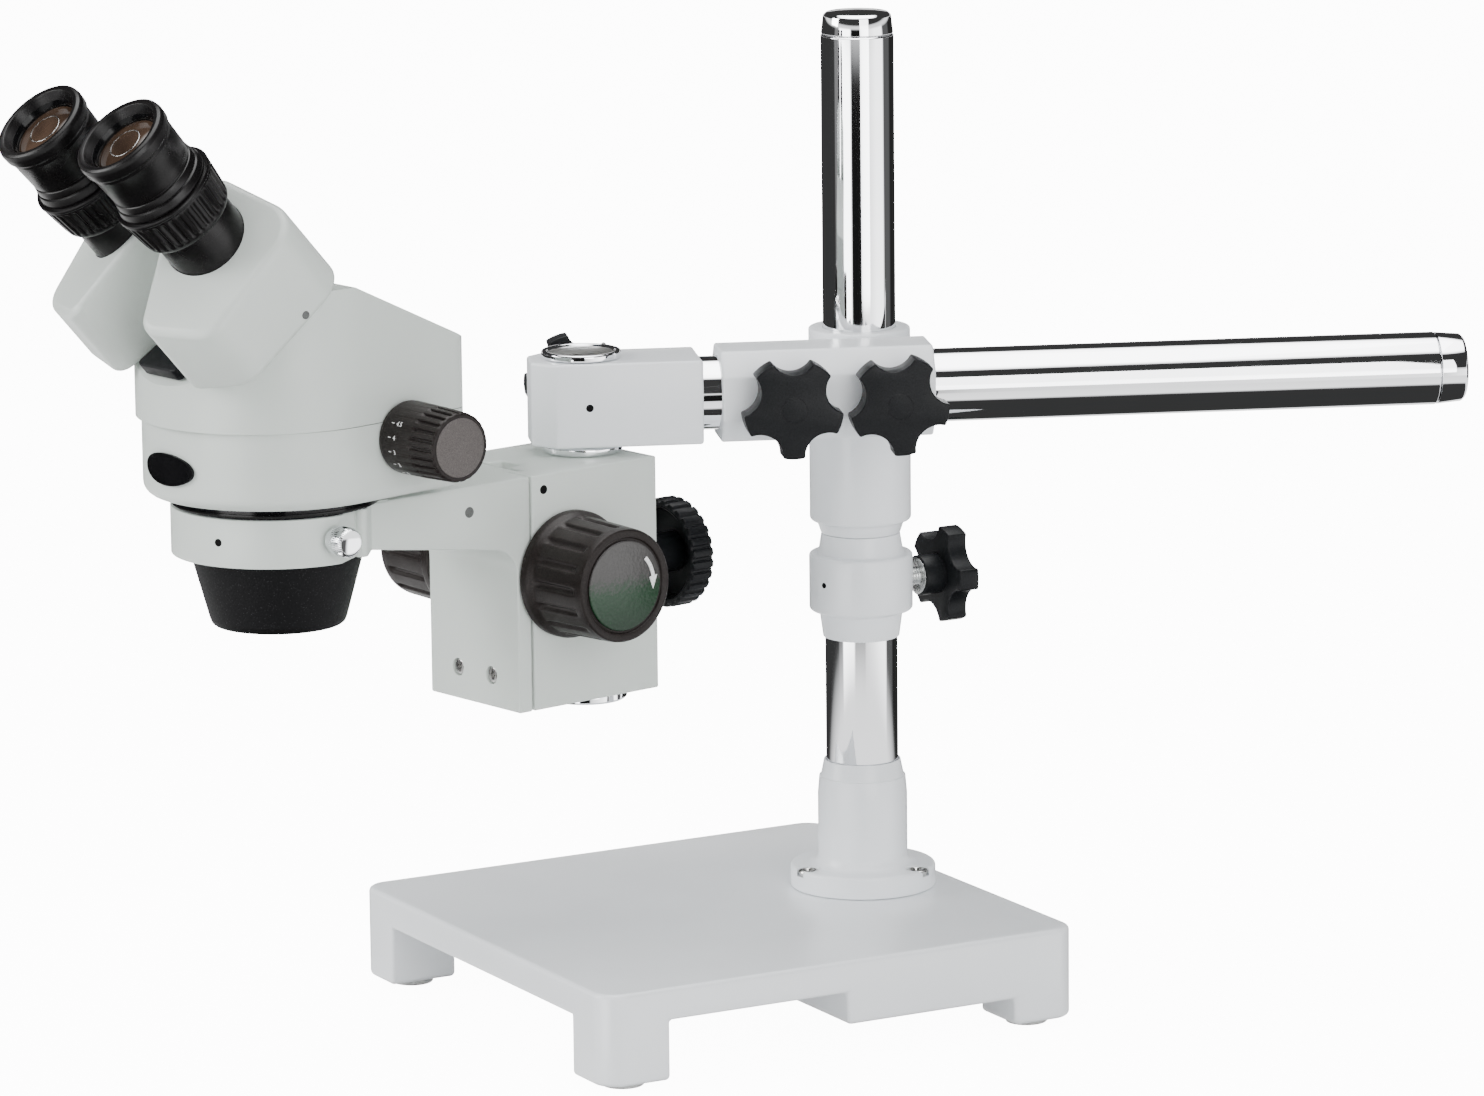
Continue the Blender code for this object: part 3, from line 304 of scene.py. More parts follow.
def filleted(corners, step=6.0):
    """An outline whose corners (x, y, radius) are rounded by arcs."""
    outline = []
    count = len(corners)
    for i, corner in enumerate(corners):
        x, y, radius = (*corner, 0.0)[:3]
        here = Vector((x, y))
        before = (Vector(corners[i - 1][:2]) - here).normalized()
        after = (Vector(corners[(i + 1) % count][:2]) - here).normalized()
        if radius <= 0.0:
            outline.append((x, y))
            continue
        half = before.angle(after) / 2
        start = here + before * (radius / math.tan(half))
        centre = here + (before + after).normalized() * (radius / math.sin(half))
        sweep = math.pi - 2 * half
        sign = 1.0 if before.x * after.y - before.y * after.x < 0 else -1.0
        steps = max(2, round(math.degrees(sweep) / step))
        for k in range(steps + 1):
            angle = sign * sweep * k / steps
            arm = start - centre
            x = centre.x + arm.x * math.cos(angle) - arm.y * math.sin(angle)
            y = centre.y + arm.x * math.sin(angle) + arm.y * math.cos(angle)
            outline.append((x, y))
    return outline


def lathe(name, profile, segments=96, ring=False, wave=None):
    """Turns (radius, height, groove depth) points about +Z. wave(angle) says how much of the depth is cut."""
    bm = bmesh.new()
    loops = []
    for point in profile:
        radius, height, depth = (*point, 0.0)[:3]
        if radius <= 0.0:
            loops.append([bm.verts.new((0.0, 0.0, height))] * segments)
            continue
        loop = []
        for i in range(segments):
            angle = 2 * math.pi * i / segments
            reach = radius - depth * (wave(angle) if depth else 0.0)
            loop.append(bm.verts.new((reach * math.cos(angle), reach * math.sin(angle), height)))
        loops.append(loop)
    pairs = list(zip(loops, loops[1:]))
    if ring:
        pairs.append((loops[-1], loops[0]))
    for upper, lower in pairs:
        for i in range(segments):
            j = (i + 1) % segments
            corners = []
            for vert in (upper[i], lower[i], lower[j], upper[j]):
                if vert not in corners:
                    corners.append(vert)
            if len(corners) > 2:
                bm.faces.new(corners)
    return new_object(name, bm)


def turned(name, profile, segments=96, ring=False):
    """A turned shape whose profile corners (radius, height, fillet) are rounded."""
    return lathe(name, filleted(profile, 22.0), segments, ring)


def cylinder(name, radius, low, high, segments=64):
    return lathe(name, [(0, high), (radius, high), (radius, low), (0, low)], segments)


def oval(across, up, count):
    """Points round an ellipse; a circle or a regular polygon when both reaches are equal."""
    steps = [2 * math.pi * i / count for i in range(count)]
    return [(across * math.cos(angle), up * math.sin(angle)) for angle in steps]


def prism(name, outline, low, high):
    """A flat outline given a thickness along Z."""
    bm = bmesh.new()
    face = bm.faces.new([bm.verts.new((x, y, low)) for x, y in outline])
    raised = bmesh.ops.extrude_face_region(bm, geom=[face])
    verts = [item for item in raised["geom"] if isinstance(item, bmesh.types.BMVert)]
    bmesh.ops.translate(bm, verts=verts, vec=(0, 0, high - low))
    return new_object(name, bm)


def block(name, low, high):
    outline = [(low[0], low[1]), (high[0], low[1]), (high[0], high[1]), (low[0], high[1])]
    return prism(name, outline, low[2], high[2])


def rounded(obj, width, segments=4, angle=30.0):
    bevel = obj.modifiers.new("Round", "BEVEL")
    bevel.width = width
    bevel.segments = segments
    bevel.limit_method = "ANGLE"
    bevel.angle_limit = math.radians(angle)
    return applied(obj)


def moved(obj, matrix):
    obj.data.transform(matrix)
    return obj


def combined(obj, other, operation="DIFFERENCE"):
    boolean = obj.modifiers.new("Combine", "BOOLEAN")
    boolean.operation = operation
    boolean.object = other
    applied(obj)
    bpy.data.objects.remove(other, do_unlink=True)
    return obj


def drilled(obj, radius, low, high, matrix=Matrix.Identity(4), segments=48):
    return combined(obj, moved(cylinder("drill", radius, low, high, segments), matrix))


def merged(obj, *others):
    """Several shapes kept as one piece."""
    bm = bmesh.new()
    bm.from_mesh(obj.data)
    for other in others:
        bm.from_mesh(other.data)
        bpy.data.objects.remove(other, do_unlink=True)
    bm.to_mesh(obj.data)
    bm.free()
    return obj


def piece(obj, group, body, nodes=(), slot=None, look=None, sharp=32.0):
    """Puts a finished shape in place, gives it its look and lets it ride on its body."""
    obj.data.transform(Matrix.Scale(MM, 4) @ group)
    obj.data.materials.clear()
    obj.data.materials.append(look or MATERIALS[slot or NODE_SLOT[nodes[0]]])
    obj.data.shade_smooth()
    obj.data.set_sharp_from_angle(angle=math.radians(sharp))
    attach(obj, body)
    if nodes:
        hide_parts(*nodes)
    return obj


def teeth(count, share=0.5, sharpness=3.0):
    """A rounded square wave: 1 in the grooves, 0 on the ribs, which take up share of each step."""

    def wave(angle):
        level = math.cos(count * angle) - math.cos(math.pi * (1 - share))
        return 1.0 / (1.0 + math.exp(-2.5 * sharpness * level))

    return wave


# ---------------------------------------------------------------- the stand


def base_plate():
    half, front, rear = 116.0, -192.5, 41.5
    corners = [(-half, front, 11), (half, front, 11), (half, rear, 11), (-half, rear, 11)]
    plate = prism("base_plate_cast", filleted(corners, 9), -40.5, 0.0)
    inside, beyond, below = half - 30, half + 20, -60
    gaps = [
        ((-inside, front - 20, below), (inside, -74, -14.4)),
        ((-beyond, front + 32, below), (beyond, -74, -14.4)),
        ((-beyond, -75, below), (beyond, rear - 32, -28.6)),
        ((-inside, -75, below), (inside, rear + 20, -28.6)),
    ]
    for low, high in gaps:
        combined(plate, block("arch", low, high))
    rounded(plate, 2.2, 4)
    piece(plate, STAND, "stand", ["base_plate"])


def rubber_feet():
    profile = [
        (0, -GAP), (8.4, -GAP, 0), (9.5, -1.4, 0.6), (9.1, -3.1, 0.8), (6.0, -3.45, 0.4), (5.2, -2.9, 0.2),
        (0, -2.9),
    ]
    for end, y in (("front", -159.5 - 16), ("rear", 41.5 - 17)):
        for side, x in (("left", -100.0), ("right", 100.0)):
            foot = turned(f"rubber_foot_{end}_{side}", profile, 48)
            piece(foot, STAND @ spot(x, y, -40.5), "stand", [f"foot_{end}_{side}"])


def pole_socket():
    profile = [
        (17.0, 57.5, 0.5), (18.5, 50.2, 0.6), (19.2, 49.9, 0.2), (19.9, 42.0, 3), (19.9, 14.0, 3),
        (21.2, 10.8, 2), (24.0, 10.0, 2), (32.3, 10.0, 1.6), (32.3, 0.3, 0.4), (16.3, 0.3),
        (16.3, 57.5, 0.3),
    ]
    socket = turned("pole_socket_cast", profile, 128, ring=True)
    for number, angle in enumerate((-90.0, 30.0, 150.0), 1):
        place = turn(angle, "Z") @ spot(27.8, 0, 0) @ turn(-angle, "Z")
        drilled(socket, 5.2, 6.8, 14.0, place)
        head = [
            (0, 8.0), (2.2, 8.0, 0.2), (2.6, 9.9, 0.4), (4.4, 9.7, 0.5), (4.8, 8.9, 0.3), (3.4, 6.2, 0.2),
            (0, 6.2),
        ]
        screw = turned(f"socket_screw_head_{number}", head, 48)
        for x, y in ((0.75, 3.2), (3.2, 0.75)):
            combined(screw, block("cross_slot", (-x, -y, 8.3), (x, y, 12.0)))
        piece(screw, STAND @ place @ turn(28, "Z"), "stand", [f"socket_screw_{number}"])
    piece(socket, STAND, "stand", ["pole_socket"])


def plated_tube(name, low, high, group, body, node):
    profile = [
        (15.5, high, 0.3), (TUBE_RADIUS, high - 0.6, 0.3), (TUBE_RADIUS, low, 0.3), (13.5, low),
        (13.5, high, 0.2),
    ]
    piece(turned(name, profile, 160, ring=True), group, body, [node])


def domed_cap(name, low, height, group, body, node):
    profile = [
        (0, low + height), (8.0, low + height - 0.3, 5), (13.6, low + height - 1.0, 1.2),
        (14.9, low + height - 2.3, 1.0), (15.8, low + 0.2, 0.3), (15.3, low, 0.1), (13.2, low),
        (13.2, low - 9.0, 1), (0, low - 9.0),
    ]
    piece(turned(name, profile, 128), group, body, [node])


# ---------------------------------------------------------------- lobed hand knobs


def star(radius, angle=0.0, lobes=5, points=200):
    """A disc with a round scoop between each pair of lobes, and the corners softened."""
    scoop, away = 0.45 * radius, 1.155 * radius
    outline = []
    for i in range(points):
        around = 2 * math.pi * i / points
        side = around % (2 * math.pi / lobes) - math.pi / lobes
        depth = scoop**2 - (away * math.sin(side)) ** 2
        reach = radius
        if depth > 0:
            edge = away * math.cos(side) - math.sqrt(depth)
            reach = (radius**-12 + edge**-12) ** (-1 / 12)
        outline.append((reach * math.cos(around + angle), reach * math.sin(around + angle)))
    return outline


def lobed_knob(name, face, back, angle):
    """Broad-lobed moulding with soft edges and a plug over the end of its screw."""
    knob = rounded(prism(name, star(HAND_KNOB_RADIUS, angle), face, back), 1.7, 4)
    plug = [
        (0, back + 0.25), (5.4, back + 0.2, 0.3), (6.0, back - 0.4, 0.2), (6.0, back - 1.0),
        (0, back - 1.0),
    ]
    return merged(knob, turned("plug", plug, 48))


def threaded_rod(name, radius, low, high, pitch=1.25):
    profile = [(0, high)]
    steps = int((high - low) / pitch)
    for i in range(steps):
        top = high - i * pitch
        profile += [(radius - 0.75, top), (radius, top - pitch / 2)]
    profile += [(radius - 0.75, high - steps * pitch), (0, high - steps * pitch)]
    return lathe(name, profile, 48)


def hand_screw(name, group, heights, angle):
    hub, face, back = heights
    body = f"{name}_hand_screw"
    rod = threaded_rod(f"{name}_rod_thread", ROD_RADIUS, 16.7, hub + 12.0)
    piece(rod, group, body, [f"{name}_screw_rod"])
    collar = [
        (9.0, face + 1.5, 0.4), (9.0, hub + 0.6, 0.5), (8.2, hub, 0.3), (4.4, hub, 0.2), (4.4, face + 1.5),
    ]
    knob = lobed_knob(f"{name}_knob_moulding", face, back, angle)
    merged(knob, turned("hub", collar, 64, ring=True))
    piece(knob, group, body, [f"{name}_knob"])
    profile = [(8.1, hub - 0.12, 0.1), (8.1, hub - 0.02), (4.1, hub - 0.02), (4.1, hub - 0.12, 0.05)]
    insert = turned(f"{name}_knob_insert", profile, 64, ring=True)
    piece(insert, group, body, slot="zinc_plate")


def set_screw(name, radius, group, body, look=None):
    """Small headless screw, flush with its host: a ring round a core with a shallow hexagonal socket."""
    profile = [(radius + 0.35, 0.12, 0.1), (radius + 0.35, -0.4), (radius, -0.4), (radius, 0.05)]
    rim = turned(name, profile, 40, ring=True)
    core = cylinder("core", radius, -1.6, 0.1, 40)
    combined(core, prism("socket", oval(0.55 * radius, 0.55 * radius, 6), 0.03, 1.0))
    piece(merged(rim, core), group, body, slot="bright_steel", look=look or DARK_HOLE)


# ---------------------------------------------------------------- safety collar, clamp and arm


def safety_collar():
    profile = [
        (17.4, 160.0, 0.3), (18.9, 151.0, 0.8), (22.9, 151.0, 1.4), (22.9, 125.4, 1.6), (18.5, 125.0, 1.5),
        (16.9, 113.2, 0.5), (16.3, 113.2), (16.3, 160.0),
    ]
    collar = turned("safety_collar_cast", profile, 128, ring=True)
    drilled(collar, ROD_HOLE, 10.0, 30.0, COLLAR_SCREW_AXIS)
    piece(collar, STAND, "collar", ["safety_collar"])
    hand_screw("collar", STAND @ COLLAR_SCREW_AXIS, (28.5, 38.5, 48.0), 0.0)
    side = STAND @ spot(0, 0, 139) @ turn(-75, "Z") @ TO_X @ spot(0, 0, 22.9)
    set_screw("collar_set_screw", 0.9, side, "collar")


def cross_clamp():
    profile = [
        (0, 252.0), (22.4, 252.0, 1.0), (22.4, 166.0, 1.6), (19.4, 165.6, 1.5), (17.6, 160.3, 0.4),
        (0, 160.3),
    ]
    clamp = turned("cross_clamp_cast", profile, 128)
    half, rise, run = 20.0, 10.5, 8.0
    section = [
        (-half, -half + rise, 2), (-half + run, -half, 3), (half - run, -half, 3), (half, -half + rise, 2),
        (half, half - rise, 2), (half - run, half, 3), (-half + run, half, 3), (-half, half - rise, 2),
    ]
    sleeve = rounded(prism("sleeve", filleted(section, 12), 0.0, 93.1), 1.1, 3, 50)
    combined(clamp, moved(sleeve, spot(ARM_X, 25.3, ARM_Z) @ TO_MINUS_Y), "UNION")
    drilled(clamp, BORE_RADIUS, 140.0, 270.0, segments=128)
    drilled(clamp, BORE_RADIUS, -90.0, 50.0, BOOM_AXIS, 128)
    for name, y, angle in (("arm_front", -39.7, 0.0), ("arm_rear", 6.4, 6.0)):
        side = spot(ARM_X, y, 229.5) @ TO_X
        drilled(clamp, ROD_HOLE, 10.0, 30.0, side)
        hand_screw(name, ARM @ side, (21.0, 27.0, 40.0), math.radians(angle))
    piece(clamp, ARM, "clamp", ["cross_clamp"])


def swivel_block():
    chamfer, half = 10.0, 18.5
    left, right, nose, tail = ARM_X - half, ARM_X + half, -150.0, -76.0
    outline = [
        (left, tail, 1.5), (left, nose + chamfer, 2), (left + chamfer, nose, 2), (right - chamfer, nose, 2),
        (right, nose + chamfer, 2), (right, tail, 1.5),
    ]
    made = rounded(prism("swivel_block_cast", filleted(outline, 12), 211.8, 248.7), 1.4, 4, 40)
    drilled(made, BORE_RADIUS, -111.0, -60.0, BOOM_AXIS, 128)
    drilled(made, 8.3, 200.0, 260.0, spot(ARM_X, PIN_Y, 0))
    screw = spot(ARM_X, PIN_Y, 232.5) @ TO_MINUS_X
    drilled(made, 3.3, 8.0, 30.0, screw)
    piece(made, ARM, "block", ["swivel_block"])
    set_screw("block_set_screw", 1.3, ARM @ spot(ARM_X + half, PIN_Y + 1.5, 229.5) @ TO_X, "block")
    knob = lobed_knob("swivel_lock_moulding", half + 6.0, half + 16.0, math.radians(-20))
    merged(knob, threaded_rod("stud", 3.0, 8.8, half + 9.0))
    piece(knob, ARM @ screw, "swivel_lock", ["swivel_lock_knob"])


# ---------------------------------------------------------------- focus block


def swivel_pin():
    profile = [
        (0, 248.9), (8.0, 248.9), (8.0, 211.5), (16.6, 211.5, 0.4), (17.3, 210.6, 0.3), (17.3, 208.6, 0.3),
        (16.7, 207.8, 0.1), (8.0, 207.8), (8.0, 152.0), (0, 152.0),
    ]
    piece(turned("swivel_pin_turned", profile, 96), PIN, "focus_block", ["swivel_pin"])
    profile = [
        (0, 251.0), (14.4, 251.0, 0.3), (15.0, 252.1, 0.4), (16.9, 252.1, 0.5), (17.3, 251.4, 0.3),
        (17.3, 249.2, 0.2), (0, 249.2),
    ]
    piece(turned("pin_cap_turned", profile, 96), PIN, "focus_block", ["pin_cap"])
    inlay = turned("pin_cap_inlay", [(0, 251.25), (14.2, 251.25, 0.1), (14.2, 251.05), (0, 251.05)], 96)
    piece(inlay, PIN, "focus_block", slot="bright_steel", look=GREY_STRIP)


def focus_housing():
    half, front, rear, low, high = BLOCK_HALF, -54.0, 16.0, 105.0, 207.5
    made = block("focus_housing_milled", (-half, front + 0.8, low), (half, rear, high))
    slot = [
        (-13.4, front - 5), (13.4, front - 5), (13.4, front), (18.4, front + 7.5), (-18.4, front + 7.5),
        (-13.4, front),
    ]
    combined(made, prism("dovetail", slot, low - 5, high + 5))
    combined(made, block("channel", (-7, front + 4, low - 5), (7, front + 15, high + 5)))
    rounded(made, 0.9, 3)
    pinion = PINION_AXIS @ TO_X
    drilled(made, 5.3, -40.0, 40.0, pinion)
    drilled(made, 8.3, 150.0, 220.0)
    drilled(made, 3.8, 4.0, 30.0, LOCK_AXIS)
    piece(made, PIN, "focus_block", ["focus_housing"])
    nut = [
        (0, 104.7), (17.6, 104.7, 0.3), (18.0, 104.0, 0.3), (18.0, 99.2, 0.5), (16.9, 98.2, 0.4),
        (6.0, 98.2), (6.0, 101.0), (0, 101.0),
    ]
    grooved = [(*point[:2], 0.7 if point[0] == 18.0 else 0.0) for point in nut]
    ring = lathe("block_nut_knurled", grooved, 288, wave=teeth(6, 0.8))
    piece(ring, PIN, "focus_block", ["block_nut"])
    set_screw("housing_set_screw", 1.6, PIN @ spot(half, -46.7, 201.0) @ TO_X, "focus_block")
    for side, x in (("right", half), ("left", -half)):
        facing = TO_X if x > 0 else TO_MINUS_X
        profile = [(9.5, 0.5, 0.2), (9.5, 0.02), (5.4, 0.02), (5.4, 0.5)]
        washer = turned(f"pinion_bush_{side}", profile, 64, ring=True)
        piece(washer, PIN @ spot(x, 0, 0) @ PINION_AXIS @ facing, "focus_block", slot="black_satin_plastic")


def lock_wheel():
    """Ribbed wheel behind the housing, dished towards it."""
    rim, front, back = 24.2, 42.4, 54.6
    profile = [
        (0, back), (rim - 4.2, back), (rim - 3.4, back, 0.3), (rim - 0.6, back - 0.7, 1.0),
        (rim, back - 1.6, 1.4), (rim, front + 1.6, 1.4), (rim - 0.5, front + 0.5, 1.0),
        (rim - 1.6, front, 0.2), (rim - 3.2, front), (rim - 4.0, front + 0.8), (rim - 4.6, back - 4.0),
        (9.0, back - 4.0), (8.0, 18.4), (7.4, 18.0), (0, 18.0),
    ]
    wheel = lathe("rear_lock_wheel", profile, 336, wave=teeth(28, 0.62))
    merged(wheel, threaded_rod("stud", 3.5, 8.8, 24.0))
    piece(wheel, PIN @ LOCK_AXIS, "rear_lock", ["rear_lock_knob"])


def curved_arrow(name, radius, width, start, stop, low, high):
    """Arrow bent round a circle, pointing from the start angle towards the stop angle, in degrees."""
    head = math.radians(start + (stop - start) * 0.62)
    first, last = math.radians(start), math.radians(stop)
    outer, inner = [], []
    for i in range(25):
        angle = first + (head - first) * i / 24
        outer.append(((radius + width / 2) * math.cos(angle), (radius + width / 2) * math.sin(angle)))
        inner.append(((radius - width / 2) * math.cos(angle), (radius - width / 2) * math.sin(angle)))
    flare = [(radius + width * 1.25, head), (radius, last), (radius - width * 1.25, head)]
    tip = [(reach * math.cos(angle), reach * math.sin(angle)) for reach, angle in flare]
    return prism(name, outer + tip + inner[::-1], low, high)


def focus_knobs():
    inner = 31.5
    outer = inner + 38.0
    profile = [
        (0, outer - 1.2), (19.8, outer - 1.2), (20.4, outer - 1.1), (20.9, outer - 0.3),
        (21.8, outer), (23.6, outer - 0.1), (24.3, outer - 0.6), (24.6, outer - 2.2),
        (24.7, outer - 4.4), (24.75, outer - 5.4, 0.5), (24.8, outer - 6.6, 1.25), (24.9, outer - 9, 1.35),
        (25.3, inner + 14, 1.35), (25.5, inner + 9.5, 1.2), (25.5, inner + 8.3, 0.5), (25.6, inner + 7.2),
        (26.2, inner + 6.2), (27.2, inner + 5.2), (27.6, inner + 4.0), (27.6, inner + 1.0), (26.8, inner),
        (5.3, inner), (5.3, inner + 20.3), (0, inner + 20.3),
    ]
    for side, facing in (("right", TO_X), ("left", TO_MINUS_X)):
        group = PIN @ PINION_AXIS @ facing
        knob = lathe(f"focus_knob_ribbed_{side}", profile, 384, wave=teeth(16, 0.72, 4.0))
        piece(knob, group, "pinion", [f"focus_knob_{side}"])
        disc = [(0, outer + 0.25), (19.5, outer - 0.2, 0.6), (19.5, outer - 0.9), (0, outer - 0.9)]
        face = turned(f"focus_knob_face_{side}", disc, 128)
        piece(face, group, "pinion", [f"focus_knob_disc_{side}"])
        arrow = curved_arrow(f"turn_arrow_{side}", 15.4, 1.7, 134, 78, outer - 0.05, outer + 0.32)
        piece(arrow, group, "pinion", slot="disc_gloss", look=WHITE_MARK)


# ---------------------------------------------------------------- carriage


def carriage():
    half, top = BLOCK_HALF, 208.0
    side = [
        (111.7, 105.0, 1), (111.7, top - 0.4, 1), (16.0, top - 0.4), (16.0, 188.5), (28.0, 187.3),
        (104.5, 176.5, 13), (104.5, 105.0, 1),
    ]
    made = rounded(moved(prism("carriage_cast", filleted(side, 6), -half, half), SIDE_VIEW), 0.9, 3, 40)
    inset = half - 0.6
    shoulder = [
        (RING_OUTER, 13, 3), (inset, 27, 3), (inset, 36), (-inset, 36), (-inset, 27, 3), (-RING_OUTER, 13, 3),
    ]
    angles = [math.pi * (1 + i / 60) for i in range(61)]
    arc = [(RING_OUTER * math.cos(angle), RING_OUTER * math.sin(angle)) for angle in angles]
    ring = rounded(prism("ring_body", filleted(shoulder, 12) + arc, 187.5, top), 1.2, 4, 40)
    combined(made, ring, "UNION")
    rail = [(-13, 110.7), (13, 110.7), (13, 112), (18, 119), (-18, 119), (-13, 112)]
    combined(made, prism("rail", rail, 106.0, top - 1.5), "UNION")
    drilled(made, 38.0, 170.0, 220.0, segments=160)
    drilled(made, 2.8, 30.0, 60.0, RING_SCREW_AXIS)
    for number, x in ((1, -11.5), (2, 11.5)):
        drilled(made, 3.9, -1.0, 8.0, spot(x, 104.5, 119.0) @ TO_Y)
        profile = [(0, -0.7), (3.1, -0.7, 0.3), (3.6, -1.3, 0.2), (3.6, -6.0), (0, -6.0)]
        head = turned(f"carriage_screw_head_{number}", profile, 48)
        combined(head, prism("key", oval(1.7, 1.7, 6), -3.2, 1.0))
        piece(head, RING @ spot(x, 104.5, 119.0) @ TO_MINUS_Y, "carriage", [f"carriage_screw_{number}"])
    piece(made, RING, "carriage", ["focus_carriage"])
    set_screw("carriage_stop_screw", 2.0, RING @ spot(half, 78.8, 196.6) @ TO_X, "carriage", GREY_SCREW)
    set_screw("ring_set_screw", 1.3, RING @ turn(-70, "Z") @ spot(RING_OUTER, 0, 198.0) @ TO_X, "carriage")
    strip = block("carriage_gib_strip", (-2.6, 82.0, top - 0.35), (2.6, 111.0, top + 0.1))
    combined(strip, block("slot", (-0.8, 92.0, top - 1), (0.8, 104.0, top + 1)))
    piece(rounded(strip, 0.15, 2), RING @ spot(-8.0, 0, 0), "carriage", slot="bright_steel", look=GREY_STRIP)


def thumb_screw():
    flat = 45.1
    profile = [
        (0, flat + 11.3), (4.6, flat + 11.3), (5.2, flat + 11.5), (5.9, flat + 10.9, 0.2),
        (6.3, flat + 10.2, 0.35), (6.3, flat + 3.2, 0.35), (5.9, flat + 2.6, 0.1), (5.0, flat + 2.4),
        (5.0, flat), (2.5, flat), (2.5, 38.3), (0, 38.3),
    ]
    screw = lathe("ring_thumb_screw_knurled", profile, 252, wave=teeth(42, 0.5, 2.0))
    piece(screw, RING @ RING_SCREW_AXIS, "ring_screw", ["ring_thumb_screw"])


# ---------------------------------------------------------------- head

SEAM, TOP = 246.5, 306.0
HEAD_RADIUS, BROW = 55.5, 3.0
PRISM_DEPTH = 43.0


def head_outline(inset=0.0, brow=0.0, step=4.0):
    """Plan of the head, drawn in by inset: a round front with straight sides that taper to the rear."""
    radius, corner = HEAD_RADIUS - inset, 10.0 - inset
    cx, cy = 40.5, 56.0
    reach = math.hypot(cx, cy + brow)
    normal = math.atan2(cy + brow, cx) - math.acos((radius - corner) / reach)
    front_sweep, rear_sweep = math.pi + 2 * normal, math.pi / 2 - normal
    steps = round(math.degrees(front_sweep) / step)
    front = []
    for i in range(steps + 1):
        angle = math.pi - normal + front_sweep * i / steps
        front.append((radius * math.cos(angle), radius * math.sin(angle) - brow))
    right = []
    for i in range(9):
        angle = normal + rear_sweep * i / 8
        right.append((cx + corner * math.cos(angle), cy + corner * math.sin(angle)))
    return front + right + [(-x, y) for x, y in reversed(right)]


def upper_side(inset, low):
    """Side view of the upper housing as (y, z), drawn in from its outer faces by inset."""
    slope = math.radians(90 - EYE_TILT)
    back = PRISM_DEPTH + GAP + inset
    face_y, face_z = EYE_Y + back * math.cos(slope), EYE_Z - back * math.sin(slope)
    apex_z = TOP - inset
    apex_y = face_y + (apex_z - face_z) * math.tan(slope)
    front_z = face_z + (-80.0 - face_y) / math.tan(slope)
    drop = 277.0 - inset * 0.6
    return [
        (-80.0, low), (-80.0, front_z), (apex_y, apex_z), (2.0 - inset * 0.3, apex_z), (64.0 - inset, drop),
        (86.0, drop), (86.0, low),
    ]


def housings():
    lower = rounded(prism("lower_housing_cast", head_outline(), 213.2, SEAM + 8), 5.5, 6)
    combined(lower, block("trim", (-90, -90, SEAM), (90, 120, SEAM + 30)))
    combined(lower, prism("hollow", head_outline(3.0), 217.2, SEAM + 30))
    drilled(lower, 33.5, 200.0, 225.0, segments=96)
    drilled(lower, 3.4, -90.0, 90.0, ZOOM_AXIS @ TO_X)
    piece(lower, RING, "head", ["lower_housing"], sharp=40)

    low = SEAM + GAP
    upper = prism("upper_housing_cast", head_outline(brow=BROW), low, TOP + 40)
    combined(upper, moved(prism("outside", upper_side(0.0, low - 20), -90, 90), SIDE_VIEW), "INTERSECT")
    rounded(upper, 1.6, 4, 25)
    combined(upper, block("trim", (-90, -90, low - 30), (90, 120, low + 0.9)))
    moved(upper, spot(0, 0, -0.9))
    hollow = prism("hollow", head_outline(3.0, BROW), low - 30, TOP + 40)
    combined(hollow, moved(prism("inside", upper_side(3.5, low - 40), -100, 100), SIDE_VIEW), "INTERSECT")
    combined(upper, hollow)
    piece(upper, RING, "head", ["upper_housing"], sharp=40)


def objective():
    profile = [
        (36.6, 192.0), (36.6, 187.0, 0.3), (29.0, 159.0, 1.0), (28.2, 157.0, 0.6), (27.2, 156.2, 0.4),
        (25.8, 156.2, 0.3), (25.8, 160.0, 0.3), (33.0, 187.0), (33.0, 192.0),
    ]
    piece(turned("objective_cone_turned", profile, 128, ring=True), RING, "head", ["objective_cone"])
    glass = [
        (0, 166.0), (24.6, 164.6), (24.6, 161.4, 0.3), (20.0, 160.9), (12.5, 160.2), (6.0, 159.9),
        (0, 159.8),
    ]
    piece(turned("objective_glass", glass, 96), RING, "head", ["objective_lens"])
    neck = [
        (43.2, 212.9, 0.3), (43.9, 212.2, 0.3), (43.9, 211.0), (43.5, 210.8), (43.5, 210.4), (43.9, 210.2),
        (43.9, 208.8, 0.3), (43.2, 208.3), (37.6, 208.3), (37.6, 192.3), (33.5, 192.3), (33.5, 212.9),
    ]
    piece(turned("neck_ring_turned", neck, 160, ring=True), RING, "head", ["neck_ring"])


def cover_plate():
    outline = filleted([(-14.5, -43, 3), (14.5, -43, 3), (4, -12, 2), (-4, -12, 2)], 15)
    plate = rounded(prism("prism_cover_moulding", outline, -PRISM_DEPTH, -PRISM_DEPTH + 6.0), 0.7, 3)
    piece(plate, EYES, "head", ["prism_cover_plate"])
    profile = [(0, 0.2), (1.4, 0.2, 0.1), (1.8, 1.0, 0.2), (2.5, 0.7, 0.3), (2.6, -0.5), (0, -0.5)]
    head = turned("cover_screw_head", profile, 48)
    piece(head, EYES @ spot(3.5, -33.0, -PRISM_DEPTH + 6.0), "head", slot="bright_steel")


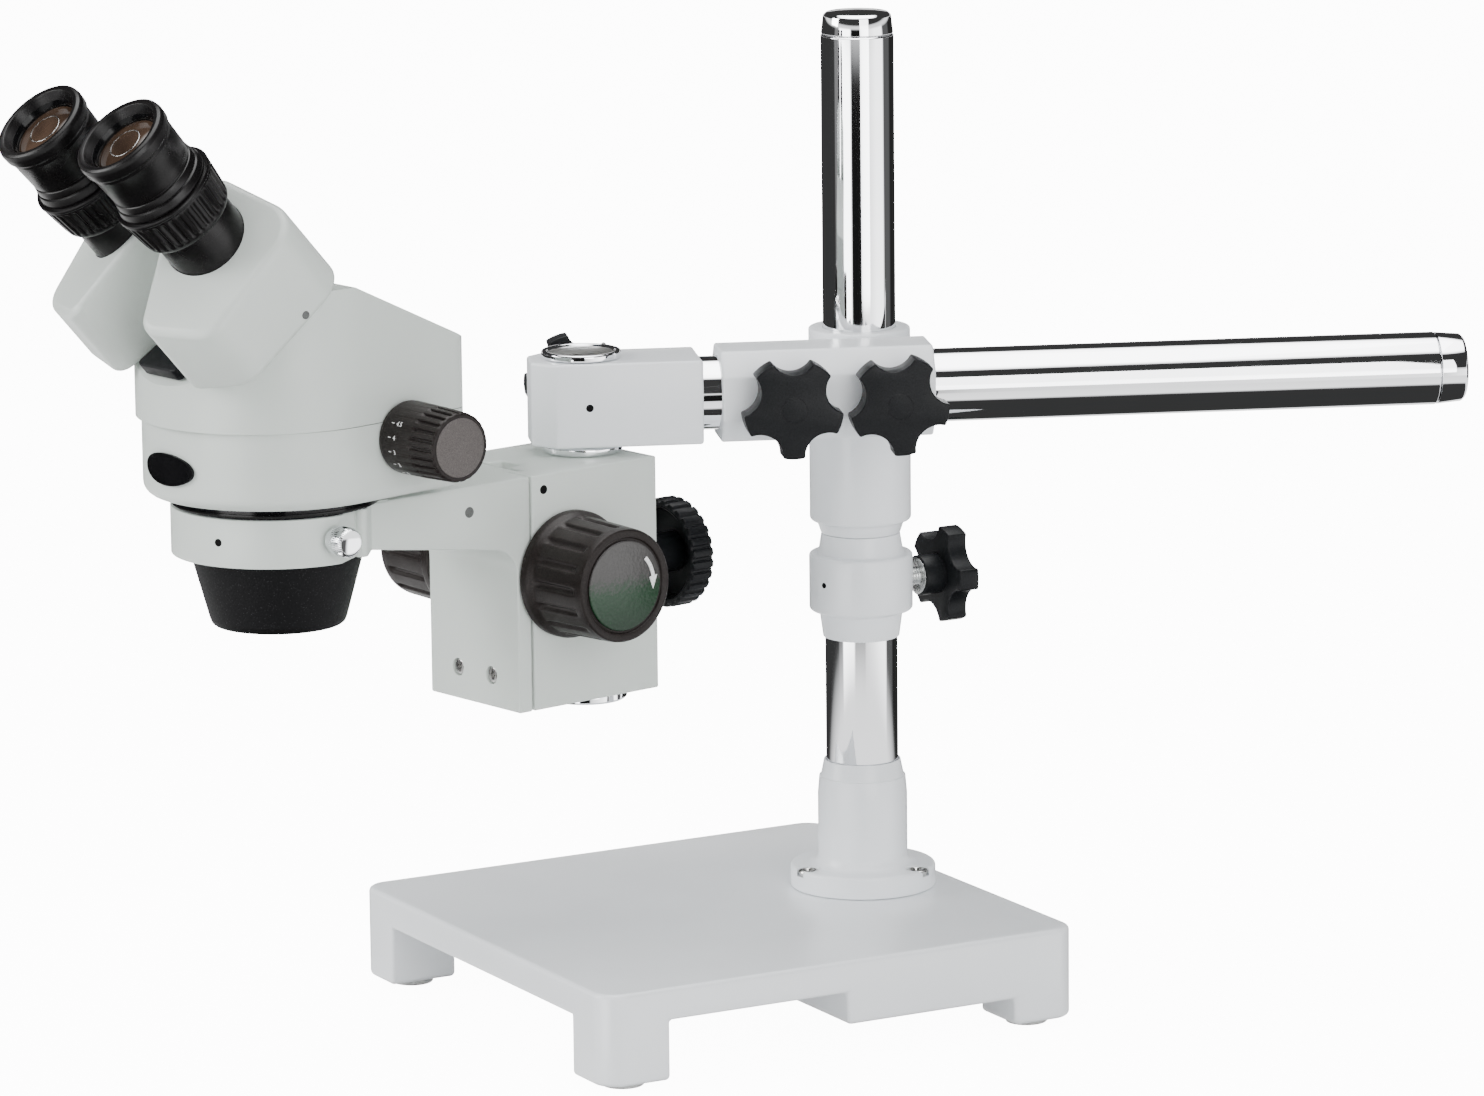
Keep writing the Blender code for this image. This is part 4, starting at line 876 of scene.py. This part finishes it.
def badge():
    """Blank oval badge, curved with the housing, inside a thin raised rim."""
    front = spot(0, -HEAD_RADIUS, 228.8) @ TO_MINUS_Y

    def curved(name, across, up, low, high):
        plate = moved(prism(name, oval(across, up, 72), -3.0, 6.0), front)
        combined(plate, cylinder("outside", HEAD_RADIUS + high, 215, 245, 256), "INTERSECT")
        return combined(plate, cylinder("inside", HEAD_RADIUS + low, 210, 250, 256))

    plate = curved("front_badge_plate", 15.8, 6.8, GAP, 1.1)
    rim = curved("badge_rim", 15.8, 6.8, 1.05, 1.35)
    combined(rim, moved(prism("field", oval(14.9, 5.9, 72), -5, 8), front))
    piece(merged(plate, rim), RING, "head", ["front_badge"], sharp=50)


def marking(name, words, size, radius):
    """Numerals laid round a drum of that radius. They read along the drum's axis."""
    curve = bpy.data.curves.new(name, "FONT")
    curve.body = words
    curve.size = size
    curve.extrude = 0.12
    text = bpy.data.objects.new(name, curve)
    bpy.context.scene.collection.objects.link(text)
    bpy.context.view_layer.update()
    mesh = bpy.data.meshes.new_from_object(text.evaluated_get(bpy.context.evaluated_depsgraph_get()))
    bpy.data.objects.remove(text, do_unlink=True)
    for vert in mesh.vertices:
        along, up, out = vert.co
        angle = (size * 0.34 - up) / radius
        vert.co = ((radius + out) * math.cos(angle), (radius + out) * math.sin(angle), along)
    obj = bpy.data.objects.new(name, mesh)
    bpy.context.scene.collection.objects.link(obj)
    return obj


def zoom_knobs():
    face, root = 90.0, 54.9
    profile = [
        (0, face - 0.15), (12.6, face - 0.15), (13.4, face), (14.0, face - 0.2), (14.5, face - 0.8, 0.2),
        (14.7, face - 1.8, 0.9), (14.75, face - 3.2, 1.15), (15.0, face - 9.0, 1.15),
        (15.15, face - 14.2, 1.1), (15.2, face - 15.2, 0.4), (15.2, face - 15.8), (15.5, root + 2.2),
        (15.4, root + 0.8), (15.0, root), (3.3, root), (3.3, 64.3), (0, 64.3),
    ]
    drum = 15.38
    for side, facing in (("right", TO_X), ("left", TO_MINUS_X)):
        group = RING @ ZOOM_AXIS @ facing
        knob = lathe(f"zoom_knob_ribbed_{side}", profile, 336, wave=teeth(24, 0.62, 4.0))
        piece(knob, group, "zoom", [f"zoom_knob_{side}"])
        disc = [(0, face + 0.12), (12.5, face + 0.05, 0.3), (12.5, face - 0.5), (0, face - 0.5)]
        cap = turned(f"zoom_knob_face_{side}", disc, 96)
        piece(cap, group, "zoom", slot="brown_black_plastic", look=KNOB_FACE)
        scale = None
        for step, number in enumerate(("4.5", "4", "3", "2", "1", ".7")):
            tick = block("tick", (drum - 0.2, -0.18, 0), (drum + 0.12, 0.18, 1.7))
            moved(tick, spot(0, 0, root + 6.2))
            digits = moved(marking("digits", number, 2.9, drum), spot(0, 0, root + 9.4))
            mark = moved(merged(tick, digits), turn(237 + 23 * step, "Z"))
            scale = merged(scale, mark) if scale else mark
        scale.name = f"zoom_scale_{side}"
        piece(scale, group, "zoom", slot="brown_black_plastic", look=WHITE_MARK)


# ---------------------------------------------------------------- prism housings and eyepieces


def prism_housing(side, sign):
    corners = [(-14.5, 28, 9), (37, 24, 16), (29, -39, 13), (-4.5, -47.5, 8), (-21.5, -3, 26)]
    outline = [(sign * x, y, radius) for x, y, radius in corners]
    if sign < 0:
        outline.reverse()
    shell = prism(f"prism_housing_cast_{side}", filleted(outline, 6), -PRISM_DEPTH, 0.0)
    for vert in shell.data.vertices:
        if vert.co.z > -1.0:
            vert.co.z += 1.0 - 0.26 * sign * vert.co.x + 0.12 * vert.co.y
    rounded(shell, 3.4, 6, 35)
    combined(shell, block("trim", (-90, -90, -PRISM_DEPTH - 5), (90, 90, -PRISM_DEPTH + 0.02)))
    drilled(shell, 17.9, -18.0, 12.0, segments=96)
    body = f"prism_{side}"
    piece(shell, EYE[side], body, [f"prism_housing_{side}"], sharp=40)
    edge = spot(sign * 33.85, -1.8, -39.0) @ (TO_X if sign > 0 else TO_MINUS_X)
    set_screw(f"prism_set_screw_{side}", 1.4, EYE[side] @ edge, body, GREY_SCREW)


def eyepiece(side):
    group, body = EYE[side], f"prism_{side}"
    tube = [(17.0, 13.0, 0.2), (17.6, 12.2, 0.4), (17.6, -12.0), (11.0, -12.0), (11.0, 13.0)]
    piece(turned(f"eye_tube_turned_{side}", tube, 128, ring=True), group, body, [f"eye_tube_{side}"])
    ribs = [
        (21.3, 32.5), (22.1, 32.4), (22.4, 31.9), (22.4, 31.2), (22.0, 30.7), (21.95, 30.3),
        (22.1, 29.9, 0.1), (22.1, 29.3, 0.55), (22.0, 28.4, 0.8), (21.3, 22.0, 0.8), (20.7, 17.2, 0.75),
        (20.5, 16.3, 0.3), (20.4, 15.6), (20.2, 14.6), (19.4, 13.4), (12.0, 13.3), (12.0, 32.5),
    ]
    ring = lathe(f"diopter_ring_ribbed_{side}", ribs, 324, ring=True, wave=teeth(36, 0.55, 4.0))
    piece(ring, group, f"diopter_{side}", [f"diopter_ring_{side}"])
    cup = [
        (18.9, 64.0, 0.4), (20.2, 63.4, 0.6), (20.7, 61.4, 1.0), (20.5, 58.0, 0.8), (19.7, 56.9, 0.5),
        (19.6, 55.4, 0.3), (19.4, 55.2), (18.9, 44.0), (18.8, 41.2, 0.2), (18.4, 40.9), (18.4, 40.4),
        (19.0, 40.1, 0.1), (19.5, 37.2, 0.2), (19.3, 36.8), (19.9, 36.2, 0.2), (20.6, 33.6, 0.3),
        (20.6, 32.9), (12.5, 32.9), (12.5, 56.0, 0.3), (14.6, 56.2, 0.1), (15.2, 59.8, 0.5),
        (16.6, 62.4, 0.6), (17.2, 63.7, 0.3),
    ]
    piece(turned(f"eyecup_moulded_{side}", cup, 128, ring=True), group, body, [f"eyecup_{side}"], sharp=45)
    profile = [(15.3, 60.0, 0.1), (14.5, 58.4, 0.4), (14.2, 58.2), (15.0, 60.1)]
    bezel = turned(f"eye_lens_bezel_{side}", profile, 96, ring=True)
    piece(bezel, group, body, slot="black_gloss_plastic")
    lens = [
        (0, 59.6), (4.0, 59.4), (8.0, 58.8), (11.0, 58.1), (13.0, 57.5), (14.2, 57.0), (14.2, 56.4),
        (0, 56.4),
    ]
    piece(turned(f"eye_lens_glass_{side}", lens, 96), group, body, [f"eye_lens_{side}"])
    profile = [(7.2, 59.12, 0.1), (6.8, 59.1), (6.8, 58.7), (7.3, 58.7)]
    field = turned(f"eye_field_stop_{side}", profile, 96, ring=True)
    piece(field, group, body, slot="bright_steel")


# ---------------------------------------------------------------- stage, light and camera


def stage():
    """Pale floor. It glows for camera rays, and glossy rays pass through it to the studio's panels."""
    bm = bmesh.new()
    bmesh.ops.create_grid(bm, x_segments=8, y_segments=8, size=6.0)
    floor = new_object("pale_floor", bm)
    look = paint("pale_floor", (0.78, 0.78, 0.78), 0.9, 40.0, 0.01, Specular_IOR_Level=0.0)
    look.node_tree.nodes["Principled BSDF"].inputs["Emission Color"].default_value = (1.0, 1.0, 1.0, 1.0)
    nodes, links = look.node_tree.nodes, look.node_tree.links
    rays = nodes.new("ShaderNodeLightPath")
    glow = nodes.new("ShaderNodeMath")
    glow.operation = "MULTIPLY"
    glow.inputs[1].default_value = 12.0
    links.new(rays.outputs["Is Camera Ray"], glow.inputs[0])
    shade(look, "Emission Strength", glow.outputs[0])
    chooser = nodes.new("ShaderNodeMixShader")
    links.new(rays.outputs["Is Glossy Ray"], chooser.inputs["Fac"])
    links.new(nodes["Principled BSDF"].outputs[0], chooser.inputs[1])
    links.new(nodes.new("ShaderNodeBsdfTransparent").outputs[0], chooser.inputs[2])
    links.new(chooser.outputs[0], nodes["Material Output"].inputs["Surface"])
    floor.data.materials.append(look)


def area_light(name, place, size, power, target=(0.0, -0.05, 0.2)):
    data = bpy.data.lights.new(name, "AREA")
    data.shape = "RECTANGLE"
    data.size = size[0]
    data.size_y = size[1]
    data.energy = power
    light = bpy.data.objects.new(name, data)
    light.location = place
    light.rotation_euler = (Vector(target) - Vector(place)).to_track_quat("-Z", "Y").to_euler()
    bpy.context.scene.collection.objects.link(light)


def surroundings():
    """A pale studio. Reflections see its white panels with darker gaps between them."""
    world = bpy.data.worlds.new("studio")
    bpy.context.scene.world = world
    world.use_nodes = True
    nodes, links = world.node_tree.nodes, world.node_tree.links
    nodes.clear()
    split = nodes.new("ShaderNodeSeparateXYZ")
    links.new(nodes.new("ShaderNodeTexCoord").outputs["Generated"], split.inputs["Vector"])
    around = nodes.new("ShaderNodeMath")
    around.operation = "ARCTAN2"
    links.new(split.outputs["Y"], around.inputs[0])
    links.new(split.outputs["X"], around.inputs[1])
    share = nodes.new("ShaderNodeMapRange")
    share.inputs["From Min"].default_value = -math.pi
    share.inputs["From Max"].default_value = math.pi
    links.new(around.outputs[0], share.inputs["Value"])
    panels = nodes.new("ShaderNodeValToRGB")
    graded(panels, [((degrees + 180.0) / 360.0, grey(level)) for degrees, level in PANELS])
    links.new(share.outputs["Result"], panels.inputs["Fac"])
    height = nodes.new("ShaderNodeValToRGB")
    # Dark below, pale at eye level, dark above it and bright overhead; 0.5 is level.
    levels = [
        (0.0, 0.006), (0.15, 0.006), (0.19, 0.27), (0.55, 0.2), (0.57, 0.006), (0.89, 0.006), (0.93, 1.0),
        (1.0, 1.0),
    ]
    graded(height, [(position, grey(level)) for position, level in levels])
    lift = nodes.new("ShaderNodeMapRange")
    lift.inputs["From Min"].default_value = -1.0
    links.new(split.outputs["Z"], lift.inputs["Value"])
    links.new(lift.outputs["Result"], height.inputs["Fac"])
    joined = nodes.new("ShaderNodeMix")
    joined.data_type = "RGBA"
    joined.blend_type = "MIX"
    band = nodes.new("ShaderNodeValToRGB")
    # The panels show only in the band that the upright tube reflects.
    edges = [(0.34, 1.0), (0.36, 0.0), (0.51, 0.0), (0.53, 1.0)]
    graded(band, [(position, grey(level)) for position, level in edges])
    links.new(lift.outputs["Result"], band.inputs["Fac"])
    links.new(band.outputs["Color"], joined.inputs["Factor"])
    links.new(panels.outputs["Color"], joined.inputs["A"])
    links.new(height.outputs["Color"], joined.inputs["B"])
    reflected = nodes.new("ShaderNodeBackground")
    reflected.inputs["Strength"].default_value = 8.0
    links.new(joined.outputs["Result"], reflected.inputs["Color"])
    plain = nodes.new("ShaderNodeBackground")
    plain.inputs["Color"].default_value = (0.98, 0.99, 1.0, 1.0)
    plain.inputs["Strength"].default_value = 0.8
    rays = nodes.new("ShaderNodeLightPath")
    chooser = nodes.new("ShaderNodeMixShader")
    links.new(rays.outputs["Is Glossy Ray"], chooser.inputs["Fac"])
    links.new(plain.outputs[0], chooser.inputs[1])
    links.new(reflected.outputs[0], chooser.inputs[2])
    links.new(chooser.outputs[0], nodes.new("ShaderNodeOutputWorld").inputs["Surface"])


# Level of the reflected wall at each azimuth, in degrees, for rays that leave almost level.
PANELS = [
    (-180, 0.006), (-108, 0.006), (-104, 0.035), (-92, 0.035), (-88, 1.0), (-54, 1.0), (-49, 0.0015),
    (-18, 0.0015), (-14, 0.2), (30, 0.5), (54, 0.5), (60, 0.016), (84, 0.016), (92, 0.003), (180, 0.006),
]


def camera():
    """Long lens from the front right, a little above the head."""
    azimuth, pitch, roll = math.radians(61.15), math.radians(11.5), math.radians(-0.6)
    level = math.cos(pitch)
    forward = Vector((-math.sin(azimuth) * level, math.cos(azimuth) * level, -math.sin(pitch)))
    right = Vector((math.cos(azimuth), math.sin(azimuth), 0.0))
    up = right.cross(forward)
    across = math.cos(roll) * right + math.sin(roll) * up
    above = -math.sin(roll) * right + math.cos(roll) * up
    target = STAND @ Vector((-51.4, -31.6, 147.0)) * MM
    data = bpy.data.cameras.new("camera")
    data.lens = 181.9
    data.sensor_width = 36.0
    data.clip_end = 20.0
    made = bpy.data.objects.new("camera", data)
    axes = Matrix((across, above, -forward)).transposed().to_4x4()
    made.matrix_world = Matrix.Translation(target - 3.345 * forward) @ axes
    bpy.context.scene.collection.objects.link(made)
    bpy.context.scene.camera = made


camera()
surroundings()
stage()
area_light("key_light", (-0.8, -2.3, 1.15), (1.2, 1.2), 60.0)
area_light("fill_light", (2.3, -0.2, 0.8), (1.2, 1.6), 34.0)
area_light("top_light", (0.1, 0.1, 2.0), (1.4, 1.4), 8.0)

base_plate()
rubber_feet()
pole_socket()
plated_tube("pole_plated", 0.6, 381.5, STAND, "stand", "pole")
domed_cap("pole_cap_domed", 381.8, 10.2, STAND, "stand", "pole_cap")
safety_collar()
cross_clamp()
BOOM = ARM @ BOOM_AXIS
plated_tube("arm_tube_plated", -110.0, 250.0, BOOM, "arm", "arm_tube")
domed_cap("arm_end_cap_domed", 250.3, 13.2, BOOM, "arm", "arm_end_cap")
swivel_block()
swivel_pin()
focus_housing()
lock_wheel()
focus_knobs()
carriage()
thumb_screw()
objective()
housings()
cover_plate()
badge()
zoom_knobs()
for eye_side, eye_sign in (("right", 1), ("left", -1)):
    prism_housing(eye_side, eye_sign)
    eyepiece(eye_side)
